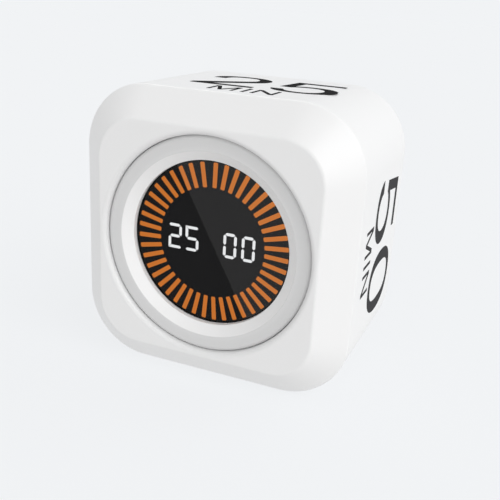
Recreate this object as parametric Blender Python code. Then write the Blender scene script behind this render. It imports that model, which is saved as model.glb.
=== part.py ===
"""Visual timer: a white block that is turned on its side to pick a time, with a round dial and display in front.

Lengths are metres. The timer stands on the ground plane with its front face towards -Y. Every piece hangs under
one empty at the middle of the front face, so inside the functions Y is the depth behind that face, and X and Z
are measured from the dial's axis.
"""

import math

import bmesh
import bpy

# Body
BODY_WIDTH = 0.0600
BODY_DEPTH = 0.0450
SHELL_WALL = 0.0020
SIDE_CORNER_RADIUS = 0.01385
FACE_CORNER_RADIUS = 0.0087
CHAMFER_INSET = 0.00615
CHAMFER_DEPTH = 0.0056
RIDGE_RADIUS = 0.0009
SEAM_INSET = 0.0050
TONGUE_LENGTH = 0.0018
TONGUE_WALL = 0.0014

# Clearances and overruns
GAP = 0.0003
FINE_GAP = 0.0001
SCREW_GAP = 0.00015
OVERRUN = 0.0010
SEAT_DEPTH = 0.0005

# Dial
FACE_MARGIN = 0.00185
DIAL_HOLE_LIP = 0.0009
DIAL_SINK = 0.00095
DIAL_EDGE_RADIUS = 0.0007
BAND_WIDTH = 0.00275
BAND_FALL = 0.00025
DIAL_RIM = 0.0052
DISH_DEPTH = 0.00275
DIAL_CAP_BACK = 0.0040
SKIRT_WALL = 0.0028
SKIRT_BACK = 0.0080
COLLAR_WALL = 0.0014
GEAR_MODULE = 0.0006
GEAR_THICKNESS = 0.0016
GEAR_STEP = 0.0020
PINION_TEETH = 10
PRESSURE_ANGLE = math.radians(20)
ADDENDUM_SHARE = 0.8
DEDENDUM_SHARE = 1.0
TOOTH_FILL_SHARE = 0.82
ENCODER_ANGLE = math.radians(30)
ENCODER_RADIUS = 0.0028
ENCODER_LENGTH = 0.0046
ENCODER_SHAFT_RADIUS = 0.00075

# Display, where a share is of the lens's radius
LENS_DEPTH = 0.0028
LENS_THICKNESS = 0.0012
LENS_EDGE = 0.00015
BLOCK_GAP = 0.0006
BLOCK_THICKNESS = 0.0043
CELL_LENGTH = 0.0024
GUIDE_THICKNESS = 0.0010
BAR_GUIDE_SETBACK = 0.00065
BAR_GUIDE_MARGIN = 0.00048
BAR_COUNT = 43
BAR_FIRST = math.radians(2)
BAR_PITCH = math.radians(8.33)
BAR_INNER_SHARE = 0.6756
BAR_OUTER_SHARE = 0.9774
BAR_WIDTH_SHARE = 0.0607
DIGIT_COUNT = 4
DIGIT_HEIGHT_SHARE = 0.327
DIGIT_WIDTH_SHARE = 0.1845
DIGIT_PITCH_SHARE = 0.232
DIGIT_PAIR_PITCH_SHARE = 0.729
DIGIT_RISE_SHARE = 0.018
SEGMENT_WIDTH_SHARE = 0.0393
SEGMENT_GAP_SHARE = 0.0071
SEGMENT_CLEARANCE = 0.00003
DIGIT_GUIDE_SIDE = 0.0004
DIGIT_GUIDE_TOP = 0.00055
DIGIT_GUIDE_CORNER = 0.0012
DISPLAY_BOARD_GAP = 0.0012
BOARD_THICKNESS = 0.0010
LED_SIZE = 0.0008
LED_HEIGHT = 0.0006
DISPLAY_SCREW_LENGTH = 0.0050

# Chassis
CHASSIS_THICKNESS = 0.0016
CHASSIS_GAP = 0.0004
BOSS_COUNT = 4
BOSS_RADIUS = 0.0020
BOSS_START = 0.0032
BOSS_CLEARANCE = 0.0007
BOSS_ANGLE = math.radians(62)
POST_INSET = 0.0090
POST_RADIUS = 0.0028
TRAY_WALL = 0.0008
TRAY_LAP_SHARE = 0.16
TRAY_RIB_LENGTH = 0.0060
TRAY_RIB_INSET = 0.0055
CLAMP_INSET = 0.0075
CLAMP_POST_RADIUS = 0.0022
CLAMP_HEIGHT = 0.0110
CLAMP_THICKNESS = 0.0012
RIBBON_WINDOW_WIDTH = 0.0080
RIBBON_WINDOW_MARGIN = 0.0005
RIBBON_WINDOW_END = 0.0016

# Battery
BATTERY_SIDE_SPACE = 0.0130
BATTERY_END_SPACE = 0.0080
BATTERY_REAR_SPACE = 0.0113
BATTERY_EDGE_RADIUS = 0.0015
FOAM_THICKNESS = 0.0008
FOAM_INSET = 0.0040

# Main board, where a share is of its half width
REAR_SPACE = 0.0105
MAIN_BOARD_THICKNESS = 0.0012
MAIN_BOARD_EDGE = 0.0010
MAIN_BOARD_CORNER = 0.0050
CHIP_HEIGHT = 0.0009
CONTROLLER_SIZE = 0.0070
SENSOR_SIZE = 0.0030
CHARGER_SIZE = 0.0040
CHIP_OFFSET_SHARE = 0.4167
SMALL_PART_STEP = 0.00125
SMALL_PART_LENGTH = 0.0016
SMALL_PART_WIDTH = 0.0008
SMALL_PART_HEIGHT = 0.0007
SMALL_PART_PITCH = 0.0028
SMALL_PART_COUNT = 6
HEADER_WIDTH = 0.0060
HEADER_DEPTH = 0.0030
HEADER_HEIGHT = 0.0036
HEADER_WALL = 0.0006
HEADER_X_SHARE = 0.395
HEADER_Z_SHARE = 0.658
PLUG_HEIGHT = 0.0040

# Screws
SMALL_SHANK_RADIUS = 0.0007
SMALL_HEAD_RADIUS = 0.0013
SMALL_HEAD_HEIGHT = 0.0009
CHASSIS_SCREW_LENGTH = 0.0048
CLAMP_SCREW_LENGTH = 0.0040
DIAL_SCREW_COUNT = 4
DIAL_SCREW_RADIUS = 0.00045
DIAL_SCREW_LENGTH = 0.0024
DIAL_SCREW_HEAD_RADIUS = 0.0009
DIAL_SCREW_HEAD_HEIGHT = 0.0005
REAR_SHANK_RADIUS = 0.0010
REAR_SCREW_LENGTH = 0.0130
REAR_HEAD_RADIUS = 0.0018
REAR_HEAD_HEIGHT = 0.0014
REAR_HEAD_SINK = 0.0007
SCREW_TIP_SHARE = 0.5
HEAD_TOP_SHARE = 0.75
HEAD_EDGE_SHARE = 0.55
DRIVE_LENGTH_SHARE = 0.62
DRIVE_WIDTH_SHARE = 0.24
DRIVE_DEPTH_SHARE = 0.55

# Rear controls, where a share is of the flat face's half width
CONTROL_OFFSET_SHARE = 0.46
BUTTON_RADIUS = 0.0036
BUTTON_SINK = 0.0002
BUTTON_EDGE = 0.0003
BUTTON_FLANGE = 0.0009
BUTTON_FLANGE_THICKNESS = 0.0008
BUTTON_STEM_RADIUS = 0.0015
TACT_SIZE = 0.0060
TACT_HEIGHT = 0.0034
TACT_WELL = 0.0022
PLUNGER_RADIUS = 0.00165
PLUNGER_PROUD = 0.0010
PLUNGER_LENGTH = 0.0022
SLIDER_TRAVEL = 0.0020
SLIDER_RECESS_DEPTH = 0.0010
SLIDER_PAD_LENGTH = 0.0054
SLIDER_PAD_HEIGHT = 0.0040
SLIDER_PAD_CORNER = 0.0008
SLIDER_RIB_COUNT = 3
SLIDER_RIB_LENGTH = 0.0030
SLIDER_RIB_WIDTH = 0.0005
SLIDER_RIB_PITCH = 0.0013
SLIDER_RIB_HEIGHT = 0.0003
SLIDER_NECK_LENGTH = 0.0034
SLIDER_NECK_HEIGHT = 0.0022
SLIDER_PLATE_LENGTH = 0.0126
SLIDER_PLATE_HEIGHT = 0.0040
SLIDER_PLATE_THICKNESS = 0.0008
SLIDER_JOIN = 0.0002
FORK_LENGTH = 0.0030
FORK_HEIGHT = 0.0026
FORK_DEPTH = 0.0016
SWITCH_LENGTH = 0.0096
SWITCH_HEIGHT = 0.0038
SWITCH_DEPTH = 0.0032
SWITCH_WELL = 0.0012
SWITCH_WELL_HEIGHT = 0.0018
LEVER_SIZE = 0.0012
USB_OFFSET_SHARE = 0.587
USB_WIDTH = 0.0089
USB_HEIGHT = 0.0032
USB_WALL = 0.0003
USB_SINK = 0.0005
USB_FLOOR = 0.0020
USB_TONGUE_WIDTH = 0.0066
USB_TONGUE_THICKNESS = 0.0007
USB_TONGUE_SINK = 0.0008
END_ROUND_SHARE = 0.9
BUZZER_OFFSET_SHARE = 0.524
BUZZER_RADIUS = 0.0055
BUZZER_HEIGHT = 0.0045
BUZZER_EDGE = 0.0004
BUZZER_PORT_RADIUS = 0.0009
BUZZER_PORT_DEPTH = 0.0010
GRILLE_HOLE_RADIUS = 0.0006
GRILLE_CIRCLE = 0.0026
GRILLE_HOLES_ROUND = 6

# Wires and ribbon
WIRE_RADIUS = 0.00045
WIRE_PITCH = 0.0016
WIRE_BEND = 0.0018
CABLE_INSET = 0.0009
CABLE_WIDTH = 0.0024
CABLE_THICKNESS = 0.0008
RIBBON_WIDTH = 0.0060
RIBBON_THICKNESS = 0.0003
RIBBON_BEND = 0.0010
RIBBON_DROP = 0.0022
CONNECTOR_WIDTH = 0.0070
CONNECTOR_LENGTH = 0.0030
CONNECTOR_HEIGHT = 0.0009
DISPLAY_CONNECTOR_INSET = 0.0020
MAIN_CONNECTOR_INSET = 0.0038

# Facets
BIG_STEPS = 60
MIDDLE_STEPS = 48
SMALL_STEPS = 16
SCREW_STEPS = 8
WIRE_STEPS = 6
CORNER_STEPS = 6
FILLET_STEPS = 2
FLANK_STEPS = 2
SHARP_ANGLE = math.radians(30)

# Sizes that follow from the ones above
HALF_WIDTH = BODY_WIDTH / 2
FACE_HALF = HALF_WIDTH - CHAMFER_INSET
SEAM_DEPTH = BODY_DEPTH - SEAM_INSET
CAVITY_HALF = HALF_WIDTH - SHELL_WALL
REAR_WALL_DEPTH = BODY_DEPTH - SHELL_WALL
CHAMFER_ANGLE = math.atan2(CHAMFER_DEPTH, CHAMFER_INSET)
DIAL_RADIUS = FACE_HALF - FACE_MARGIN
DIAL_HOLE_RADIUS = DIAL_RADIUS + GAP
BAND_INNER_RADIUS = DIAL_RADIUS - BAND_WIDTH
SKIRT_INNER_RADIUS = DIAL_RADIUS - SKIRT_WALL
LENS_RADIUS = DIAL_RADIUS - DIAL_RIM
DIAL_BORE_RADIUS = LENS_RADIUS + GAP
GEAR_FRONT = SKIRT_BACK + GAP
GEAR_BACK = GEAR_FRONT + GEAR_THICKNESS
DIAL_SCREW_SEAT = GEAR_BACK - DIAL_SCREW_HEAD_HEIGHT - FINE_GAP
DIAL_SCREW_CIRCLE = (DIAL_RADIUS + SKIRT_INNER_RADIUS) / 2
DIAL_TEETH = round(2 * (DIAL_RADIUS + GEAR_STEP) / GEAR_MODULE)
GEAR_PITCH_RADIUS = GEAR_MODULE * DIAL_TEETH / 2
PINION_PITCH_RADIUS = GEAR_MODULE * PINION_TEETH / 2
ENCODER_DISTANCE = GEAR_PITCH_RADIUS + PINION_PITCH_RADIUS
ENCODER_X = ENCODER_DISTANCE * math.cos(ENCODER_ANGLE)
ENCODER_Z = ENCODER_DISTANCE * math.sin(ENCODER_ANGLE)
CHASSIS_FRONT = GEAR_BACK + GAP
CHASSIS_BACK = CHASSIS_FRONT + CHASSIS_THICKNESS
CHASSIS_HALF = CAVITY_HALF - CHASSIS_GAP
BOSS_CIRCLE = GEAR_PITCH_RADIUS + ADDENDUM_SHARE * GEAR_MODULE + BOSS_CLEARANCE + BOSS_RADIUS
POST_OFFSET = CAVITY_HALF - POST_INSET
CLAMP_OFFSET = CAVITY_HALF - CLAMP_INSET
BLOCK_RADIUS = SKIRT_INNER_RADIUS - BLOCK_GAP
BLOCK_FRONT = LENS_DEPTH + LENS_THICKNESS + GAP
BLOCK_BACK = BLOCK_FRONT + BLOCK_THICKNESS
GUIDE_FRONT = BLOCK_FRONT + CELL_LENGTH
GUIDE_BACK = GUIDE_FRONT + GUIDE_THICKNESS
BAR_INNER_RADIUS = LENS_RADIUS * BAR_INNER_SHARE
BAR_OUTER_RADIUS = LENS_RADIUS * BAR_OUTER_SHARE
BAR_WIDTH = LENS_RADIUS * BAR_WIDTH_SHARE
BAR_GUIDE_INNER_RADIUS = BAR_INNER_RADIUS + BAR_GUIDE_SETBACK
BAR_GUIDE_OUTER_RADIUS = BAR_OUTER_RADIUS + BAR_GUIDE_MARGIN
DIGIT_HEIGHT = LENS_RADIUS * DIGIT_HEIGHT_SHARE
DIGIT_WIDTH = LENS_RADIUS * DIGIT_WIDTH_SHARE
DIGIT_PITCH = LENS_RADIUS * DIGIT_PITCH_SHARE
DIGIT_PAIR_PITCH = LENS_RADIUS * DIGIT_PAIR_PITCH_SHARE
DIGIT_RISE = LENS_RADIUS * DIGIT_RISE_SHARE
SEGMENT_WIDTH = LENS_RADIUS * SEGMENT_WIDTH_SHARE
SEGMENT_GAP = LENS_RADIUS * SEGMENT_GAP_SHARE
DIGIT_GUIDE_WIDTH = DIGIT_PAIR_PITCH + DIGIT_PITCH + DIGIT_WIDTH + 2 * DIGIT_GUIDE_SIDE
DIGIT_GUIDE_HEIGHT = DIGIT_HEIGHT + 2 * DIGIT_GUIDE_TOP
DISPLAY_SCREW_OFFSET = (DIGIT_GUIDE_HEIGHT / 2 + DIGIT_RISE + BAR_GUIDE_INNER_RADIUS) / 2
DISPLAY_SCREW_SEAT = CHASSIS_BACK - SMALL_HEAD_HEIGHT
DISPLAY_BOARD_RADIUS = SKIRT_INNER_RADIUS - DISPLAY_BOARD_GAP
DISPLAY_BOARD_FRONT = BLOCK_BACK + GAP
DISPLAY_BOARD_BACK = DISPLAY_BOARD_FRONT + BOARD_THICKNESS
MAIN_BOARD_DEPTH = BODY_DEPTH - REAR_SPACE
MAIN_BOARD_BACK = MAIN_BOARD_DEPTH + MAIN_BOARD_THICKNESS
MAIN_BOARD_HALF = POST_OFFSET + POST_RADIUS + MAIN_BOARD_EDGE
CHIP_OFFSET = MAIN_BOARD_HALF * CHIP_OFFSET_SHARE
SMALL_PART_Z = CHIP_OFFSET - CONTROLLER_SIZE / 2 - SMALL_PART_STEP
HEADER_X = MAIN_BOARD_HALF * HEADER_X_SHARE
HEADER_Z = MAIN_BOARD_HALF * HEADER_Z_SHARE
BATTERY_WIDTH = 2 * (CAVITY_HALF - BATTERY_SIDE_SPACE)
BATTERY_HEIGHT = 2 * (CAVITY_HALF - BATTERY_END_SPACE)
BATTERY_FRONT = CHASSIS_BACK + FOAM_THICKNESS + 2 * GAP
BATTERY_BACK = MAIN_BOARD_DEPTH - BATTERY_REAR_SPACE
CLAMP_FRONT = BATTERY_BACK + GAP
TRAY_BACK = BATTERY_FRONT + TRAY_LAP_SHARE * (BATTERY_BACK - BATTERY_FRONT)
CLAMP_BACK = CLAMP_FRONT + CLAMP_THICKNESS
TRAY_RIB_OFFSET = BATTERY_WIDTH / 2 - TRAY_RIB_INSET
POST_END = MAIN_BOARD_DEPTH - GAP
REAR_HEAD_FRONT = BODY_DEPTH - REAR_HEAD_SINK - REAR_HEAD_HEIGHT
FRONT_PARTS_SEAT = MAIN_BOARD_DEPTH - FINE_GAP
REAR_PARTS_SEAT = MAIN_BOARD_BACK + FINE_GAP
PLUG_BACK = FRONT_PARTS_SEAT - HEADER_WALL - GAP
PLUG_FRONT = PLUG_BACK - PLUG_HEIGHT
BUTTON_X = -FACE_HALF * CONTROL_OFFSET_SHARE
SLIDER_X = FACE_HALF * CONTROL_OFFSET_SHARE
USB_Z = -FACE_HALF * USB_OFFSET_SHARE
BUZZER_Z = FACE_HALF * BUZZER_OFFSET_SHARE
CABLE_X = MAIN_BOARD_HALF - CABLE_INSET
RIBBON_DROP_Z = -BATTERY_HEIGHT / 2 - RIBBON_DROP
DISPLAY_CONNECTOR_Z = DISPLAY_CONNECTOR_INSET - DISPLAY_BOARD_RADIUS
MAIN_CONNECTOR_Z = MAIN_CONNECTOR_INSET - MAIN_BOARD_HALF

FINISHES = {
    "white_gloss": ((0.86, 0.86, 0.86), 0.32, 0),
    "white_satin": ((0.80, 0.80, 0.80), 0.45, 0),
    "smoked_glass": ((0.02, 0.02, 0.022), 0.06, 0),
    "black_plastic": ((0.015, 0.015, 0.016), 0.5, 0),
    "orange_light": ((0.80, 0.20, 0.035), 0.4, 0),
    "white_light": ((0.95, 0.95, 0.95), 0.4, 0),
    "black_board": ((0.02, 0.03, 0.03), 0.45, 0),
    "green_board": ((0.02, 0.16, 0.07), 0.4, 0),
    "natural_nylon": ((0.75, 0.73, 0.66), 0.5, 0),
    "grey_plastic": ((0.30, 0.31, 0.32), 0.55, 0),
    "steel": ((0.62, 0.62, 0.62), 0.3, 1),
    "silver_pouch": ((0.66, 0.67, 0.69), 0.35, 0.8),
    "grey_foam": ((0.10, 0.10, 0.11), 0.95, 0),
    "chip_black": ((0.02, 0.02, 0.02), 0.55, 0),
    "ribbon_amber": ((0.60, 0.28, 0.05), 0.35, 0),
    "wire_red": ((0.60, 0.03, 0.02), 0.4, 0),
}


def clear_scene():
    for old in list(bpy.data.objects):
        bpy.data.objects.remove(old, do_unlink=True)


def make_material(name, finish):
    colour, roughness, metallic = FINISHES[finish]
    material = bpy.data.materials.new(name)
    material.use_nodes = True
    shader = material.node_tree.nodes["Principled BSDF"]
    shader.inputs["Base Color"].default_value = (*colour, 1)
    shader.inputs["Roughness"].default_value = roughness
    shader.inputs["Metallic"].default_value = metallic
    material.diffuse_color = (*colour, 1)
    return material


def make_empty(name, parent=None, at=(0, 0, 0)):
    empty = bpy.data.objects.new(name, None)
    empty.location = at
    empty.parent = parent
    empty.empty_display_size = GEAR_PITCH_RADIUS
    bpy.context.scene.collection.objects.link(empty)
    return empty


def make_object(name, bm, parent, finish=None, place=(0, 0)):
    """Object from a bmesh of closed bodies, with its faces turned outwards. place is its (x, z)."""
    bmesh.ops.recalc_face_normals(bm, faces=bm.faces[:])
    mesh = bpy.data.meshes.new(name)
    bm.to_mesh(mesh)
    bm.free()
    mesh.shade_smooth()
    mesh.set_sharp_from_angle(angle=SHARP_ANGLE)
    obj = bpy.data.objects.new(name, mesh)
    obj.parent = parent
    obj.location = (place[0], 0, place[1])
    if finish:
        mesh.materials.append(make_material(name, finish))
    bpy.context.scene.collection.objects.link(obj)
    return obj


def combine(obj, bm, operation):
    """Boolean with a hidden tool made from the bmesh. DIFFERENCE cuts and UNION joins."""
    place = (obj.location.x, obj.location.z)
    tool = make_object(f"{obj.name}_tool_{len(obj.modifiers)}", bm, obj.parent, place=place)
    tool.hide_render = True
    tool.display_type = "WIRE"
    modifier = obj.modifiers.new(operation.title(), "BOOLEAN")
    modifier.operation = operation
    modifier.solver = "EXACT"
    modifier.object = tool


def arc_points(centre, radius, start, end, steps):
    """Points of an arc in a plane, both ends included."""
    turns = [start + (end - start) * step / steps for step in range(steps + 1)]
    return [(centre[0] + radius * math.cos(t), centre[1] + radius * math.sin(t)) for t in turns]


def rounded_rectangle(half_x, half_z, radius, steps=CORNER_STEPS, centre=(0, 0)):
    """Outline with round corners."""
    points = []
    for corner, (side_x, side_z) in enumerate(((1, 1), (-1, 1), (-1, -1), (1, -1))):
        middle = (centre[0] + side_x * (half_x - radius), centre[1] + side_z * (half_z - radius))
        start = corner * math.pi / 2
        points += arc_points(middle, radius, start, start + math.pi / 2, steps)
    return points


def rectangle(half_x, half_z, centre=(0, 0)):
    signs = ((1, 1), (-1, 1), (-1, -1), (1, -1))
    return [(centre[0] + x * half_x, centre[1] + z * half_z) for x, z in signs]


def circle(radius, steps, centre=(0, 0)):
    return arc_points(centre, radius, 0, 2 * math.pi, steps)[:-1]


def fillet(before, corner, after, radius, steps=FILLET_STEPS):
    """Points of the arc that rounds off one corner of a line."""
    ways = []
    for other in (before, after):
        run = [other[k] - corner[k] for k in range(2)]
        size = math.hypot(*run)
        ways.append([value / size for value in run])
    opening = math.acos(ways[0][0] * ways[1][0] + ways[0][1] * ways[1][1])
    run = radius / math.tan(opening / 2)
    middle_way = [ways[0][k] + ways[1][k] for k in range(2)]
    reach = radius / math.sin(opening / 2) / math.hypot(*middle_way)
    centre = [corner[k] + middle_way[k] * reach for k in range(2)]
    start, end = [math.atan2(*(corner[k] + way[k] * run - centre[k] for k in (1, 0))) for way in ways]
    turn = (end - start + math.pi) % (2 * math.pi) - math.pi
    return arc_points(centre, radius, start, start + turn, steps)


def bent_path(corners, bend):
    """Line through the corners with each inner one rounded."""
    path = [corners[0]]
    for before, corner, after in zip(corners, corners[1:], corners[2:]):
        path += fillet(before, corner, after, bend)
    return path + [corners[-1]]


def add_loft(bm, rings):
    """Closed body through rings of points that all have the same count."""
    layers = [[bm.verts.new(point) for point in ring] for ring in rings]
    count = len(layers[0])
    for near, far in zip(layers, layers[1:]):
        for i in range(count):
            j = (i + 1) % count
            bm.faces.new((near[i], near[j], far[j], far[i]))
    bm.faces.new(layers[0])
    bm.faces.new(layers[-1])


def add_prism(bm, outline, front, back):
    """Outline pushed along the depth."""
    add_loft(bm, [[(x, depth, z) for x, z in outline] for depth in (front, back)])


def add_revolved(bm, profile, steps, centre=(0, 0)):
    """Body turned about the depth axis from a closed (radius, depth) profile, which may touch the axis."""
    turns = [2 * math.pi * step / steps for step in range(steps)]
    rows = []
    for radius, depth in profile:
        used = turns if radius else turns[:1]
        places = [(centre[0] + radius * math.cos(t), depth, centre[1] + radius * math.sin(t)) for t in used]
        rows.append([bm.verts.new(place) for place in places])
    for near, far in zip(rows, rows[1:] + rows[:1]):
        for i in range(steps):
            j = (i + 1) % steps
            corners = (near[i % len(near)], near[j % len(near)], far[j % len(far)], far[i % len(far)])
            corners = list(dict.fromkeys(corners))
            if len(corners) > 2:
                bm.faces.new(corners)


def add_swept(bm, path, section, x=0):
    """Section of (x, across) points carried along a (depth, z) path."""
    rings = []
    for index, (depth, z) in enumerate(path):
        before = path[max(index - 1, 0)]
        after = path[min(index + 1, len(path) - 1)]
        run = (after[0] - before[0], after[1] - before[1])
        aside = (-run[1] / math.hypot(*run), run[0] / math.hypot(*run))
        rings.append([(x + u, depth + v * aside[0], z + v * aside[1]) for u, v in section])
    add_loft(bm, rings)


def add_cylinder(bm, radius, front, back, centre=(0, 0), steps=SMALL_STEPS):
    add_prism(bm, circle(radius, steps, centre), front, back)


def add_tube(bm, outer, inner, front, back, steps):
    add_revolved(bm, [(outer, front), (outer, back), (inner, back), (inner, front)], steps)


def add_box(bm, half_x, half_z, front, back, centre=(0, 0)):
    add_prism(bm, rectangle(half_x, half_z, centre), front, back)


def ring_places(radius, count, first=0):
    """Evenly spaced (x, z) places on a circle."""
    turns = [first + 2 * math.pi * place / count for place in range(count)]
    return [(radius * math.cos(t), radius * math.sin(t)) for t in turns]


def corner_places(offset):
    return [(x * offset, z * offset) for x in (-1, 1) for z in (-1, 1)]


def side_places(offset):
    return [(-offset, 0), (offset, 0)]


def spread(count, pitch):
    """Evenly spaced distances about zero."""
    return [(index - (count - 1) / 2) * pitch for index in range(count)]


def boss_places():
    return ring_places(BOSS_CIRCLE, BOSS_COUNT, BOSS_ANGLE)


def dial_screw_places():
    return ring_places(DIAL_SCREW_CIRCLE, DIAL_SCREW_COUNT, math.pi / DIAL_SCREW_COUNT)


def display_screw_places():
    return [(0, -DISPLAY_SCREW_OFFSET), (0, DISPLAY_SCREW_OFFSET)]


def body_corner_radius(half):
    """Corner radius of the body's outline where it is this wide, from the flat face out to the sides."""
    share = (half - FACE_HALF) / CHAMFER_INSET
    return FACE_CORNER_RADIUS + share * (SIDE_CORNER_RADIUS - FACE_CORNER_RADIUS)


def inner_corner_radius(half):
    """Corner radius of what fits inside the sides at this half width."""
    return SIDE_CORNER_RADIUS - HALF_WIDTH + half


def ridge_profiles():
    """(half width, depth) round the face's ridge and round the side's ridge."""
    face = (0, 0)
    face_ridge = (FACE_HALF, 0)
    side_ridge = (HALF_WIDTH, CHAMFER_DEPTH)
    side = (HALF_WIDTH, BODY_DEPTH / 2)
    return fillet(face, face_ridge, side_ridge, RIDGE_RADIUS), fillet(face_ridge, side_ridge, side, RIDGE_RADIUS)


def to_rear(profile):
    """The same line on the body's rear half."""
    return [(half, BODY_DEPTH - depth) for half, depth in reversed(profile)]


def rear_chamfer_half(depth):
    return FACE_HALF + (BODY_DEPTH - depth) / math.tan(CHAMFER_ANGLE)


def body_rings(profile):
    rings = []
    for half, depth in profile:
        outline = rounded_rectangle(half, half, body_corner_radius(half))
        rings.append([(x, depth, z) for x, z in outline])
    return rings


def cavity_rings(profile):
    """Rings one wall inside the body's outline."""
    rings = []
    for half, depth in profile:
        radius = body_corner_radius(half + SHELL_WALL) - SHELL_WALL
        outline = rounded_rectangle(half, half, radius)
        rings.append([(x, depth, z) for x, z in outline])
    return rings


def inner_ridge():
    """(half width, depth) where the inside of the front face meets the inside of the chamfer."""
    return FACE_HALF - SHELL_WALL * math.tan(CHAMFER_ANGLE / 2), SHELL_WALL


def inner_chamfer_depth(half):
    """Depth of the chamfer's inside where the cavity is this wide."""
    ridge_half, ridge_depth = inner_ridge()
    return ridge_depth + (half - ridge_half) * math.tan(CHAMFER_ANGLE)


def dial_hole_profile():
    """The dial's hole with its rounded lip, from the axis out and back."""
    lip_centre = (DIAL_HOLE_RADIUS + DIAL_HOLE_LIP, DIAL_HOLE_LIP)
    lip = arc_points(lip_centre, DIAL_HOLE_LIP, -math.pi / 2, -math.pi, FILLET_STEPS)
    start = [(0, -OVERRUN), (lip_centre[0], -OVERRUN)]
    return start + lip + [(DIAL_HOLE_RADIUS, SKIRT_BACK + OVERRUN), (0, SKIRT_BACK + OVERRUN)]


def make_front_shell(parent):
    """Housing from the front face to the start of the rear chamfer, with the dial's collar and chassis bosses."""
    face_ridge, side_ridge = ridge_profiles()
    rim = (rear_chamfer_half(SEAM_DEPTH), SEAM_DEPTH)
    body = bmesh.new()
    add_loft(body, body_rings(face_ridge + side_ridge + to_rear(side_ridge) + [rim]))
    shell = make_object("front_shell", body, parent, "white_gloss")

    cavity = bmesh.new()
    inside = [inner_ridge(), (CAVITY_HALF, inner_chamfer_depth(CAVITY_HALF))]
    add_loft(cavity, cavity_rings(inside + [(CAVITY_HALF, SEAM_DEPTH + OVERRUN)]))
    combine(shell, cavity, "DIFFERENCE")

    raised = bmesh.new()
    collar_inner = DIAL_HOLE_RADIUS - OVERRUN
    collar_outer = DIAL_HOLE_RADIUS + COLLAR_WALL
    add_tube(raised, collar_outer, collar_inner, SHELL_WALL - SEAT_DEPTH, SKIRT_BACK, BIG_STEPS)
    for place in boss_places():
        add_cylinder(raised, BOSS_RADIUS, BOSS_START, GEAR_BACK, place)
    combine(shell, raised, "UNION")

    holes = bmesh.new()
    add_revolved(holes, dial_hole_profile(), BIG_STEPS)
    tip = CHASSIS_BACK - CHASSIS_SCREW_LENGTH
    for place in boss_places():
        add_cylinder(holes, SMALL_SHANK_RADIUS + SCREW_GAP, tip, GEAR_BACK + OVERRUN, place, SCREW_STEPS)
    combine(shell, holes, "DIFFERENCE")


def make_rear_cover(parent):
    """Rear chamfer and flat back, with a tongue, screw bosses and openings for the controls."""
    face_ridge, _ = ridge_profiles()
    rim_depth = SEAM_DEPTH + GAP
    body = bmesh.new()
    add_loft(body, body_rings([(rear_chamfer_half(rim_depth), rim_depth)] + to_rear(face_ridge)))
    cover = make_object("rear_cover", body, parent, "white_gloss")

    tongue = bmesh.new()
    half = CAVITY_HALF - GAP
    outline = rounded_rectangle(half, half, inner_corner_radius(half))
    add_prism(tongue, outline, SEAM_DEPTH - TONGUE_LENGTH, rim_depth + SEAT_DEPTH)
    combine(cover, tongue, "UNION")

    cavity = bmesh.new()
    half = CAVITY_HALF - GAP - TONGUE_WALL
    ridge_half, ridge_depth = inner_ridge()
    inside = [(half, SEAM_DEPTH - TONGUE_LENGTH - OVERRUN), (half, BODY_DEPTH - inner_chamfer_depth(half))]
    add_loft(cavity, cavity_rings(inside + [(ridge_half, BODY_DEPTH - ridge_depth)]))
    combine(cover, cavity, "DIFFERENCE")

    bosses = bmesh.new()
    for place in corner_places(POST_OFFSET):
        add_cylinder(bosses, POST_RADIUS, MAIN_BOARD_BACK + GAP, REAR_WALL_DEPTH + SEAT_DEPTH, place)
    combine(cover, bosses, "UNION")
    combine(cover, rear_recesses(), "DIFFERENCE")
    combine(cover, rear_through_holes(), "DIFFERENCE")


def rear_recesses():
    """Recesses for the screw heads and the slider's pad, which stop inside the wall."""
    recesses = bmesh.new()
    past = BODY_DEPTH + OVERRUN
    for place in corner_places(POST_OFFSET):
        add_cylinder(recesses, REAR_HEAD_RADIUS + GAP, REAR_HEAD_FRONT - GAP, past, place)
    half_x = SLIDER_PAD_LENGTH / 2 + SLIDER_TRAVEL + GAP
    half_z = SLIDER_PAD_HEIGHT / 2 + GAP
    corner = SLIDER_PAD_CORNER + GAP
    outline = rounded_rectangle(half_x, half_z, corner, FILLET_STEPS, (SLIDER_X, 0))
    add_prism(recesses, outline, BODY_DEPTH - SLIDER_RECESS_DEPTH, past)
    return recesses


def rear_through_holes():
    """Openings that go right through the rear wall."""
    holes = bmesh.new()
    inside = REAR_WALL_DEPTH - OVERRUN
    past = BODY_DEPTH + OVERRUN
    for place in corner_places(POST_OFFSET):
        add_cylinder(holes, REAR_SHANK_RADIUS + GAP, MAIN_BOARD_BACK, REAR_HEAD_FRONT, place, SCREW_STEPS)
    add_cylinder(holes, BUTTON_RADIUS + GAP, inside, past, (BUTTON_X, 0))
    half_x = SLIDER_NECK_LENGTH / 2 + SLIDER_TRAVEL + GAP
    half_z = SLIDER_NECK_HEIGHT / 2 + GAP
    add_box(holes, half_x, half_z, inside, past, (SLIDER_X, 0))
    add_prism(holes, usb_outline(GAP), inside, past)
    for x, z in [(0, 0)] + ring_places(GRILLE_CIRCLE, GRILLE_HOLES_ROUND):
        add_cylinder(holes, GRILLE_HOLE_RADIUS, inside, past, (x, BUZZER_Z + z), SCREW_STEPS)
    return holes


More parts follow.
